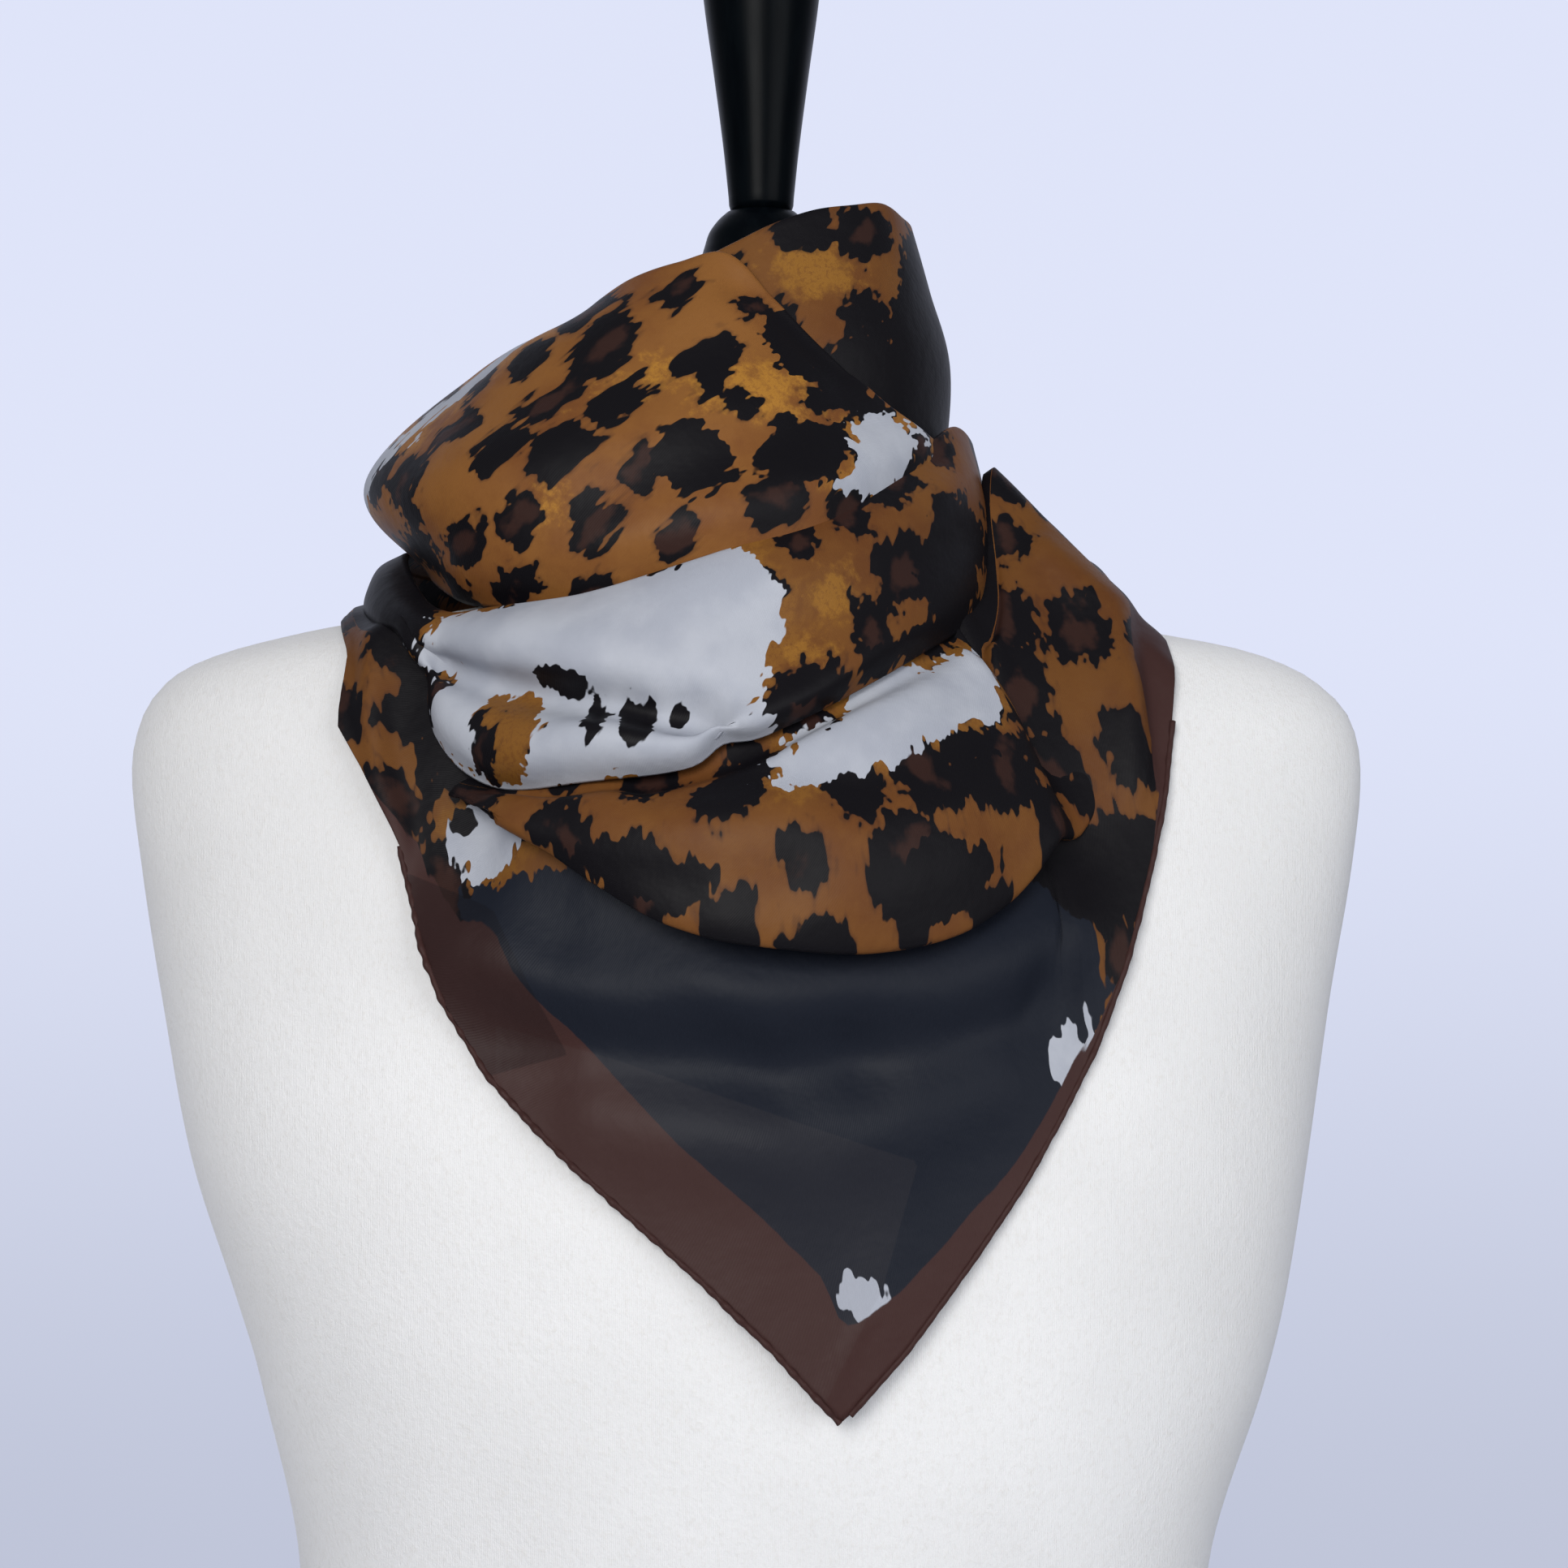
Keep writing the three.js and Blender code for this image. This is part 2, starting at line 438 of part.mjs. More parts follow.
scarf.add(rolledHem("right_hem", OUTER_DRAPE, DRAPE_CUT, CORNER_ANGLE, 66, SILK_BORDER));

export default scarf;
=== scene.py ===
# Looks of a silk square scarf wound round a limbless dress form. The tables are in
# millimetres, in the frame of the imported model: +Z up, the front faces -Y, X runs to the
# viewer's right. Angles run round the neck in degrees, 0 in front and 90 to the right.
# Another program worked out the rows of the five stretches, apart from a few typed over them,
# and the zones, panels and front folds, from places picked by eye in the photograph.
import math
import bpy
import numpy as np
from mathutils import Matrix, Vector


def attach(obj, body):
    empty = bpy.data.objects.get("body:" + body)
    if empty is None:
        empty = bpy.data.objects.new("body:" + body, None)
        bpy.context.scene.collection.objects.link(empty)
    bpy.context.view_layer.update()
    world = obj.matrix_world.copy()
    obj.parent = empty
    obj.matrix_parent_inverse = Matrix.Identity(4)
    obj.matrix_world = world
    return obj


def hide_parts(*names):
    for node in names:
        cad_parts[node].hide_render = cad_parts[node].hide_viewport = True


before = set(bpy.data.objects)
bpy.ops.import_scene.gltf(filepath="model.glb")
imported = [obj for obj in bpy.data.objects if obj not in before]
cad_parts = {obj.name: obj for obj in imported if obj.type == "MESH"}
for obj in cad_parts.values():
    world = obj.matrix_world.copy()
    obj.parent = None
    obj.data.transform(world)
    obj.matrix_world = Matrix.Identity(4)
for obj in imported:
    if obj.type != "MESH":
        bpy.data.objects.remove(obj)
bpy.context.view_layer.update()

MM = 0.001
CLOTH_LAYERS = 0.7
ANGLE_STEP = 1.25
FORM_FACETS = 144
TURNED_FACETS = 96
HEM_RADIUS = 1.1
HEM_SIDES = 10
HEM_GAP = -0.9
LIP_LINES = 9
TUCK_LINES = 8
CORNER_ANGLE = 11.4
ZONE_DEPTH = 14
FAR_OUTSIDE = -30.0
FAR_INSIDE = 30.0
BORDER_ANGLES = (-80, 100)
HEM_REACH = 40
RIPPLE_LENGTH = 55
SIDE_BLEND = 4
FRAME_PIXELS = 1932
FOCAL_PIXELS = 3462
CAMERA_AT = (7.28, -900, 551)
SENSOR_WIDTH = 36

# Lines of a stretch that run straight from row to row.
STRAIGHT_LINES = {"outer_drape": [5]}

# Spots: how far their strokes lean either way, their sizes and those of their lobes as shares,
# how far the lobes lie off, how long and wide they are, and how often and large a core is.
SPOT_LEAN = 0.5
SPOT_SIZES = (0.55, 1.2)
SECOND_LOBES = (0.4, 0.75)
THIRD_LOBES = (0.2, 0.6)
LOBE_SHIFT = 0.95
LOBE_LENGTHS = (1.0, 1.4)
LOBE_WIDTHS = (0.72, 1.0)
CORE_CHANCE = 0.7
CORE_LENGTH = 0.75
CORE_WIDTH = 0.36
WOBBLE_LENGTH = 13
WOBBLE = 1.1
WOBBLE_SEED = 50

# The rolled hem: points between two angles, the length of a pucker and of its drift, how slim
# the roll is at least, and how much the puckers and the ripples swell and shift it.
HEM_STEPS = 8
PUCKER_LENGTH = 5.2
PUCKER_DRIFT = 17
PUCKER_SHIFT = 1.1
HEM_SLIM = 0.86
HEM_RIPPLE_LENGTH = 11
SWELL_SHARES = (0.09, 0.10)
WANDER_SHARES = (0.2, 0.3)

# How far the print's edges fray, in millimetres, and how soft they are.
STROKE_FRAY = 9
BROAD_FRAY = 12
CORE_FRAY = 12
GOLDEN_FRAY = 30
BORDER_FRAY = 0.8
MARK_FRAY_SHARE = 0.5
SPOT_EDGE = 0.22
ZONE_EDGE = 0.25
PALE_EDGE = 0.2
LAYER_EDGE = 0.3
VEIL_SHARE = 0.08
SHADE_SHARE = 0.4

# Heights of the surfaces' fine relief, in metres.
TWILL_HEIGHT = 0.00002
SILK_CLOUD_HEIGHT = 0.0005
KNIT_HEIGHT = 0.00006
FLUFF_HEIGHT = 0.00035
GRAIN_HEIGHT = 0.00003

# The stage, in metres: a round floor and an upright wall behind it.
FLOOR_RADIUS = 0.95
FLOOR_SIDES = 96
WALL_AT = 3.2
WALL_WIDTH = 9.0
WALL_FOOT = -2.2
WALL_TOP = 4.6
WALL_FADE = (-0.73, 0.86)
ROOM_FADE = (-0.45, 0.10)

# Lamps: power in watts, then size, place and aim in metres, and tint.
LAMPS = {
    "key": (22.5, 0.8, (-0.4, -1.65, 1.0), (0, 0, 0.5), (1.0, 0.985, 0.965)),
    "fill": (11, 1.1, (1.15, -1.3, 0.7), (0, 0, 0.45), (0.97, 0.98, 1.0)),
}

# The form by height: half widths to the viewer's left and right, depths in front and behind,
# and how square the section is.
TORSO_SECTIONS = [
    [0, 162, 158, 104, 100, 2.1],
    [12, 168, 164, 108, 106, 2.1],
    [70, 177, 171, 112, 114, 2.1],
    [140, 176, 169, 110, 112, 2.15],
    [220, 156, 150, 100, 92, 2.2],
    [300, 146, 141.5, 97, 82, 2.2],
    [366, 158.5, 160, 106, 90, 2.25],
    [391, 166, 166, 108, 95, 2.25],
    [434, 180, 173, 108, 103, 2.25],
    [484, 190, 180.5, 99, 107, 2.2],
    [526, 197, 188, 86, 106, 2.2],
    [556, 200.5, 191, 75, 100, 2.15],
    [573, 197, 187, 68, 94, 2.15],
    [583, 190, 177.5, 64, 90, 2.1],
    [589, 181, 167, 61.5, 87, 2.1],
    [594, 167, 152, 59.5, 84, 2.1],
    [598, 151, 131, 58, 81, 2.05],
    [600.5, 139, 114, 57.2, 79, 2.05],
    [602.5, 126, 100, 56.5, 77, 2],
    [605, 102, 87, 56, 74, 2],
    [609, 84, 76, 55.3, 71, 2],
    [616, 71, 67, 54.5, 66, 2],
    [626, 62, 61, 53.7, 60, 2],
    [640, 56, 56, 52.5, 56, 2],
    [660, 53, 53, 51.2, 52.5, 2],
    [689, 50, 50, 50, 50, 2],
]

# Radius and height of the turned cap and of the spindle that rises out of it.
CAP_PROFILE = [
    [0, 689.5], [48.5, 689.5], [49.5, 691], [49.5, 694], [48, 699], [43.5, 705], [36, 710], [27, 714],
    [20, 718], [18.4, 722], [16.8, 727], [14, 731], [11.2, 733.6], [0, 733.6],
]
FINIAL_PROFILE = [
    [0, 734], [9.6, 734], [10.2, 735.2], [10.4, 738], [12.2, 755], [15.2, 778], [18.5, 802], [20.8, 826],
    [21.6, 845], [20.6, 860], [17.4, 871], [12, 878.5], [6, 882], [0, 883],
]

# Each row is a section round the neck: its angle, then the radius and height of each line.
# inner collar: rim, lean, belly, foot
INNER_COLLAR = [
    [-180, 45, 722, 51, 706, 56, 686, 56, 660],
    [-150, 46, 716, 51.4, 700, 55.8, 682.7, 56.2, 660],
    [-120, 50, 704, 51.7, 694, 55.7, 679.3, 56.3, 660],
    [-100, 49.8, 700, 51.9, 690, 55.6, 677.1, 56.4, 660],
    [-88, 49.8, 698.1, 52.3, 688.2, 55.5, 676.1, 56.5, 660],
    [-78, 49.9, 698.8, 52.3, 689.1, 55.8, 676.8, 56.6, 660],
    [-68, 49.9, 699.5, 52.5, 690, 56, 677.5, 56.6, 660],
    [-62, 50, 699.9, 52.6, 690.5, 56.1, 677.9, 56.7, 660],
    [-58, 50, 700.5, 52.7, 690.8, 56.2, 678.1, 56.7, 660],
    [-54, 49.9, 701.4, 52.8, 691.2, 56.3, 678.4, 56.7, 660],
    [-49, 49.8, 702.6, 52.9, 691.6, 56.4, 678.7, 56.7, 660],
    [-40, 49.7, 704.7, 53.1, 693.1, 56.6, 679.3, 56.8, 660],
    [-25, 49.2, 709, 53.4, 696.4, 56.9, 680.3, 56.9, 660],
    [-10, 49, 714.3, 53.8, 699.8, 57.3, 681.3, 56.9, 660],
    [5, 49, 720.2, 54, 702.7, 57.7, 682.2, 57.2, 659.3],
    [20, 49, 724.8, 54, 704.7, 58.4, 682.9, 57.7, 657.3],
    [35, 49, 727.3, 54, 706.7, 59.1, 683.6, 58.2, 655.3],
    [50, 49, 729.4, 53.9, 707.9, 59.5, 684, 58.5, 653.7],
    [65, 48.5, 727.5, 53.8, 707.6, 59.5, 684, 58.5, 652.7],
    [80, 48.1, 727.1, 53.6, 707.2, 59.5, 684, 58.5, 651.7],
    [100, 47, 725, 53.4, 707, 59.2, 684.2, 58.4, 651.9],
    [120, 46, 724, 53.2, 707, 58.5, 684.7, 58.2, 653.7],
    [150, 45, 723, 52.3, 706.7, 57.3, 685.3, 57.3, 656.7],
]

# upper wrap: rim, slope, belly, foot
UPPER_WRAP = [
    [-180, 64, 696, 72, 682, 84, 656, 80, 632],
    [-150, 68, 697, 80, 682, 100, 652, 90, 626],
    [-120, 70, 696, 90, 680, 117, 649, 101, 622],
    [-100, 69.2, 695.2, 92, 679, 123.8, 646.6, 105, 619.6],
    [-88, 68.6, 694.4, 92.8, 679, 125.3, 645.5, 105.5, 617.1],
    [-78, 67.9, 693.6, 91.6, 679.6, 124.2, 644.6, 104.6, 614.1],
    [-68, 67.3, 692.8, 89.6, 680.4, 120.2, 642.6, 102.6, 609.6],
    [-62, 66.9, 692.7, 88.4, 680.8, 117.8, 641.4, 101.4, 606.9],
    [-58, 66, 694.7, 87.3, 681.1, 115.8, 640.8, 100.6, 605.6],
    [-54, 65.2, 696.8, 85.8, 681.2, 113.4, 640.4, 99.8, 604.8],
    [-49, 64.1, 699.4, 84, 681.4, 110.4, 639.9, 98.8, 603.8],
    [-40, 62.1, 703.5, 80.7, 681.7, 105, 639, 97, 602],
    [-25, 59.2, 707.7, 75.5, 682.5, 96.8, 638.5, 94, 600],
    [-10, 58.4, 709.8, 71, 684, 90, 640, 91, 600],
    [5, 60.5, 696.7, 67.5, 680, 84, 642, 88, 602],
    [20, 62.6, 680.3, 67, 668, 77, 643, 82, 608],
    [35, 63.9, 666.3, 67.5, 655, 72, 640, 77, 618],
    [50, 65.5, 655.6, 67, 649, 69.4, 640, 72, 628],
    [65, 64.8, 655.2, 66, 647, 67.5, 641, 68.5, 634],
    [80, 64, 655, 65.2, 648, 66.2, 642, 66.6, 636],
    [100, 63.8, 657, 65, 650, 66.5, 642, 66.8, 636],
    [120, 63.5, 668, 66.5, 656, 70, 645, 70, 634],
    [150, 63, 688, 68, 670, 76, 650, 76, 632],
]

# middle wrap: rim, upper, crease, roll, under
MIDDLE_WRAP = [
    [-180, 87, 631, 89, 625, 90, 620, 91, 615, 88, 611],
    [-150, 99, 626, 102, 617, 104, 612.5, 105.5, 609, 103, 606.5],
    [-120, 110, 623, 116.5, 619, 121, 612, 121.5, 607, 119.5, 604.6],
    [-100, 114.5, 624.5, 122, 620, 125.6, 613, 126.6, 608, 125, 605],
    [-88, 114, 624.5, 121.5, 620, 124.8, 612.5, 125.6, 607, 125, 604.6],
    [-78, 114, 620, 121.3, 616, 124.8, 609.5, 125.6, 604.7, 124.5, 602.7],
    [-68, 113.5, 610.5, 120.5, 608, 124, 603.5, 124.3, 600, 122, 597.8],
    [-62, 112.3, 603.9, 118.5, 602.5, 120.3, 600, 120.8, 597.6, 118.8, 595.6],
    [-58, 109.7, 601.5, 117.6, 596.8, 117.3, 592.7, 118.9, 589, 116.7, 582.9],
    [-54, 108.3, 601.2, 116, 593.3, 114.4, 585.6, 118.7, 580.9, 116, 566.5],
    [-49, 107, 602.1, 114.1, 593, 112.7, 582.5, 118.7, 570.3, 115.3, 556],
    [-40, 104.8, 604, 112.8, 592.4, 111, 578.4, 118.8, 560.6, 113.1, 550],
    [-25, 100.9, 609.2, 109.4, 593, 110.9, 574.3, 117.7, 564, 111, 552.6],
    [-10, 96.4, 616.3, 104.5, 598.2, 109.8, 572.7, 116.5, 563.8, 109.2, 557.8],
    [5, 89.3, 624.9, 97.1, 607.3, 103.4, 586.1, 109.2, 574.4, 103.8, 568.5],
    [20, 81.4, 634.9, 87.7, 620.2, 94.5, 602.4, 99.1, 589.1, 95.2, 580.5],
    [35, 75.1, 644.6, 79.9, 632.6, 85, 616.5, 89.7, 601.1, 87.2, 590.8],
    [50, 70.3, 655, 75.4, 643.1, 78.8, 628.3, 82.9, 610.9, 82, 599.6],
    [65, 67.3, 661, 70.8, 652, 75.2, 635.6, 77.6, 622.7, 78.3, 609.1],
    [80, 67.5, 659, 69.8, 650, 72.4, 637, 74.8, 624, 74, 619],
    [100, 68.5, 654, 70.8, 646, 73.4, 634, 76, 622, 75.5, 617],
    [120, 74, 645, 76, 638, 79, 630, 82, 620, 79, 615],
    [150, 82, 636, 85, 630, 88, 624, 91, 617, 88, 613],
]

# outer drape: rim, turn, swell, hollow, lap, hem
OUTER_DRAPE = [
    [-180, 93, 621, 93.7, 618.4, 95.1, 613.3, 96.4, 608.7, 97.7, 603.8, 99, 599],
    [-150, 108, 613, 109, 611.6, 110.8, 609, 112.5, 606.6, 114.2, 604, 116, 601.5],
    [-120, 124.5, 609.8, 125.2, 609.1, 126.4, 607.9, 127.6, 606.7, 128.8, 605.5, 130, 604.3],
    [-104, 129.6, 609.3, 130.1, 608.8, 131, 607.8, 131.8, 606.9, 132.6, 605.9, 133.5, 605],
    [-90, 129, 607.6, 129.4, 607.2, 130.2, 606.3, 130.8, 605.6, 131.6, 604.8, 132.3, 604],
    [-80, 129.6, 604.5, 130, 604.1, 130.8, 603.5, 131.5, 602.8, 132.3, 602.2, 133, 601.5],
    [-74, 129.5, 600, 130, 599.7, 130.9, 599, 131.8, 598.4, 132.7, 597.8, 133.5, 597.2],
    [-69, 128, 596.3, 128.7, 595.6, 129.9, 594.3, 131.1, 593.1, 132.3, 591.8, 133.6, 590.5],
    [-64, 121.5, 592.5, 123.8, 589.7, 128.2, 584.3, 132.2, 579.4, 136.4, 574.2, 140.6, 569.1],
    [-60, 113, 586, 116.5, 582.4, 121.4, 575.4, 125.9, 569, 131, 562.3, 136, 555.6],
    [-54, 111.2, 568, 115.2, 563.9, 119.5, 556, 122.7, 548.8, 126.2, 541.2, 130.4, 533.7],
    [-49, 108.2, 557, 112.8, 551.1, 117.8, 539.7, 122.3, 529.4, 126.3, 518.5, 129.8, 507.6],
    [-44, 108, 549, 110.5, 541.5, 115.7, 527.2, 120.2, 514.1, 124.6, 500.3, 128.8, 486.6],
    [-38, 113, 542, 114.6, 532.2, 117.6, 514.2, 120.2, 498.4, 122.8, 483.1, 125.4, 467.7],
    [-28, 111, 536, 112.5, 519.7, 114.8, 494.9, 116.4, 477.8, 117.8, 462.5, 120.1, 447.2],
    [-18, 109, 531, 110, 516.2, 111.5, 494, 112.6, 477, 114.2, 453.3, 116.5, 429.5],
    [-8, 108, 529, 108.8, 515, 109.9, 494, 110.8, 477, 112.6, 444.5, 115, 412.1],
    [2, 107.5, 528, 108.3, 513.2, 109.4, 494, 110.4, 477, 112.7, 435.1, 115.9, 393.2],
    [11.4, 107.5, 529.1, 108.6, 511.8, 109.7, 494, 110.7, 476.8, 113.9, 424.6, 118.1, 372.3],
    [20, 108, 531, 109.3, 515.7, 111.1, 494, 112.5, 477, 117.1, 434.6, 120.9, 392.1],
    [29, 109, 536, 111, 519.2, 116, 494, 116, 477, 120.4, 447, 124.6, 417.1],
    [36, 108, 542, 111.2, 524.5, 119.8, 496.9, 120.6, 478.7, 124.3, 458.4, 128.4, 438.2],
    [41, 106.3, 550.3, 110, 535.2, 119, 509.3, 123.1, 490.2, 126.9, 472.6, 130.5, 454.9],
    [44, 105, 556, 108.6, 544, 117.3, 522, 122.8, 503.2, 128.3, 484.6, 132.1, 466],
    [46.5, 92, 586, 97.5, 583.5, 109.9, 547.4, 119.5, 524.3, 127.1, 500, 133.8, 475.8],
    [51, 89.8, 593.5, 95.3, 591, 111.2, 559.6, 120.4, 539.2, 128.5, 517.8, 135.7, 496.5],
    [57, 86.6, 604.3, 92.1, 601.8, 115, 577.3, 124.5, 561.1, 130.9, 544.1, 137.2, 527.1],
    [62, 82.5, 615.9, 88, 613.4, 111.7, 594.5, 124.5, 581.6, 131.4, 568.2, 137.5, 554.7],
    [68, 77.1, 635.7, 84.1, 629.6, 97.5, 618, 109.7, 607.3, 122.6, 596.2, 135.4, 585],
    [74, 75.4, 649, 81.9, 642.6, 94.3, 630.2, 105.7, 618.9, 117.6, 607.1, 129.5, 595.3],
    [80, 76, 649, 81.1, 643.5, 88.5, 634, 95.5, 625.5, 106, 617.5, 118.7, 605.2],
    [87, 77, 647.6, 81.5, 641.5, 86.5, 633, 92.5, 625.5, 105.5, 621, 113, 613],
    [95, 78, 646, 81.5, 641, 86.5, 632.5, 91.5, 626, 103, 622, 110, 616],
    [110, 81, 642, 84, 638.8, 89.7, 632.6, 94.9, 627, 100.4, 621, 105.9, 615.1],
    [130, 85.2, 634.4, 87.3, 631.4, 91.3, 625.6, 95, 620.4, 98.8, 614.8, 102.7, 609.3],
    [155, 90.5, 626.8, 91.6, 624, 93.8, 618.5, 95.7, 613.6, 97.8, 608.4, 99.8, 603.2],
]

# front cowl: rim, throat, brow, belly, fold, under
FRONT_COWL = [
    [-47.5, 118.8, 550.8, 119.6, 550.4, 120.4, 549.8, 121.2, 548.9, 121.6, 547.8, 114.6, 547.5],
    [-44, 110.7, 548, 114.5, 547.2, 118.6, 546.3, 121.3, 545, 121.5, 547.1, 114.5, 546.8],
    [-39, 106, 557.2, 113.2, 545.8, 118.5, 545.8, 122.3, 542.5, 121.5, 543.4, 114.5, 543.1],
    [-31, 104.8, 558.6, 112, 547.2, 118.5, 545.5, 124.2, 538.2, 122.8, 532.5, 115.8, 532.2],
    [-22, 103.6, 560.6, 110.8, 549.2, 118.2, 546.3, 126.4, 533.3, 124.7, 522.3, 117.7, 522],
    [-12, 102.4, 564.1, 109.6, 552.7, 117.5, 548.8, 127.8, 530.4, 126.7, 513.2, 119.7, 512.9],
    [-2, 99.3, 570.5, 106.5, 559.1, 115.4, 553.8, 127.9, 529.4, 127.8, 508.7, 120.8, 508.4],
    [8, 95.1, 577.9, 102.3, 566.5, 111.9, 561.7, 126.8, 532.7, 128, 506.9, 121, 506.6],
    [18, 89.3, 585.9, 96.5, 574.5, 107.6, 569.5, 124.7, 537.3, 127.4, 507.7, 120.4, 507.4],
    [27, 84.5, 592.3, 91.7, 580.9, 103.6, 574.5, 122, 543.3, 126.7, 511.6, 119.7, 511.3],
    [34, 80.7, 597.1, 87.9, 585.7, 100.4, 577.3, 121.6, 545.5, 126.1, 518.6, 119.1, 518.3],
    [39, 78.8, 600.1, 86, 589.5, 98.5, 581, 122.5, 545, 126, 526.1, 119, 525.8],
    [43.2, 77.4, 597.6, 85.6, 592.2, 99, 583, 123.4, 544.1, 126.3, 534.7, 119.3, 534.4],
    [45, 90, 590.5, 98, 582.5, 108, 569, 121.5, 546.5, 124.5, 536.5, 118, 536],
    [47, 96.5, 576, 103, 566.5, 112, 556, 119.5, 544.5, 122.3, 536, 116, 535.5],
    [51, 102.5, 571, 108, 562.5, 114.3, 553.5, 119.3, 545, 122, 537.2, 118, 535],
    [57, 114.5, 572, 117.5, 567, 120, 562, 122.5, 557, 124, 552, 122, 550],
]

# Print zones by stretch, seen from the front: tone, X, Z, half width, half height, tilt. Some black ones
# are painted shade.
ZONES = {
    "inner_collar": [
        ("ink_and_shade", 58, 682, 20.5, 61, -6),
        ("ink_and_shade", 37, 666, 22, 21, 0),
        ("golden", 16, 707, 14.5, 11, 0),
    ],
    "upper_wrap": [
        ("pale", 38, 653, 11, 7.5, 5),
        ("pale", 32, 641, 8, 5.5, 30),
        ("pale", -121, 650, 19.5, 3.5, 72),
        ("pale", -91, 672, 26, 1.5, 38),
        ("ink_and_shade", -20, 645, 13, 10.5, 0),
        ("ink_and_shade", 13, 648, 17, 9.5, 5),
        ("ink_and_shade", 24, 671, 23, 6.5, -42),
        ("ink_and_shade", 12, 683, 11, 9.5, -30),
        ("golden", 0, 667, 19, 9, 0),
        ("golden", -60, 631, 7, 6, 0),
        ("golden", -32, 671, 14.5, 4.5, 20),
    ],
    "middle_wrap": [
        ("pale", -38, 592, 47, 20.5, 8),
        ("pale", -74, 594, 28.5, 9.5, 10),
        ("pale", -13, 604, 19.5, 13.5, 0),
        ("pale", -54, 566, 30, 13.5, 0),
        ("pale", -76, 571, 20, 18.5, 0),
        ("pale", -54, 557, 16, 8, 0),
        ("pale", -22, 578, 25, 16, 10),
        ("pale", -33, 563, 34, 10, 6),
        ("pale", -88, 592, 11.5, 8, -10),
        ("pale", -84, 579, 8.5, 15, 0),
        # Painted shade: black in the shadow under the roll at the left end.
        ("ink_and_shade", -99, 585, 5, 9.5, 0),
        ("pale", -68, 559, 16, 14, 0),
        ("printed", -73, 565, 10.5, 13, -20),
        ("ink_and_shade", -111, 607, 14.5, 21, 0),
        ("ink_and_shade", 58, 615, 10.5, 23, -8),
        ("ink_and_shade", 41, 590, 19, 4.5, 33),
        ("ink_and_shade", 12, 578, 13.5, 3, 28),
        # Black print and painted shade in the dark gap at the left edge, beside the drape.
        ("ink_and_shade", -97, 572, 3.5, 21.5, 4),
        ("mark", -55, 580, 8.5, 4, -28),
        ("mark", -46, 569, 3, 7, -10),
        ("mark", -36, 570, 3.5, 7.5, 4),
        ("mark", -31, 571, 3, 6.5, -6),
        ("mark", -22, 570, 3, 4, 0),
        ("golden", 21, 605, 8.5, 8.5, 0),
        ("golden", 12, 589, 8.5, 4, 0),
    ],
    "front_cowl": [
        ("pale", 46, 575, 24.5, 11, 14),
        ("pale", 24, 561, 21, 8, 18),
        ("pale", 63, 579, 8, 11, 0),
        ("ink_and_shade", 54, 597, 14.5, 6, 10),
        ("ink_and_shade", 60, 561, 7, 6, 0),
        ("ink_and_shade", -32, 527, 19.5, 9, -14),
        ("ink_and_shade", 51, 524, 17.5, 10.5, 18),
    ],
    "outer_drape": [
        # The drape's front panel: dark print, painted lighter and bluer as a sheen.
        ("dark_print_and_sheen", -12, 484, 84.5, 45.5, 0),
        ("dark_print_and_sheen", 4, 439, 68, 66, 0),
        ("dark_print_and_sheen", -49, 499, 42.5, 25.5, -20),
        ("dark_print_and_sheen", 57, 492, 44, 34.5, 0),
        ("dark_print_and_sheen", 67, 453, 30, 30, 0),
        ("ink_and_shade", 84, 522, 16.5, 16.5, 0),
        ("pale", -79, 535, 11, 13.5, -12),
        ("pale", 29, 406, 5, 6, 0),
        ("pale", 25, 410, 2, 7, -8),
        ("pale", 29, 410, 2, 7, 0),
        ("pale", 34, 409, 2, 6, 6),
        ("pale", 91, 468, 6.5, 8.5, 12),
        ("pale", 86, 474, 2.5, 9, 4),
        ("pale", 91, 475, 2, 7.5, 0),
        ("pale", 96, 475, 2.5, 8.5, 12),
        ("mark", -86, 540, 4, 4.5, 0),
        # Black print and painted shade in the dark gap beside the middle wrap; below it, painted shade
        # under the roll.
        ("ink_and_shade", -97, 572, 5, 24, 0),
        ("ink_and_shade", -106, 590, 10, 3.5, -10),
    ],
}

# Straight edged zones where a layer behind shows through: tone, then X and Z of each corner.
PANELS = {
    "outer_drape": [
        ("veil", -75, 482, -40, 473, 45, 445, 35, 410, 18, 377, -75, 467),
        ("shade", -103, 525, -76, 515, -54, 474, -79, 467, -109, 508),
    ],
}

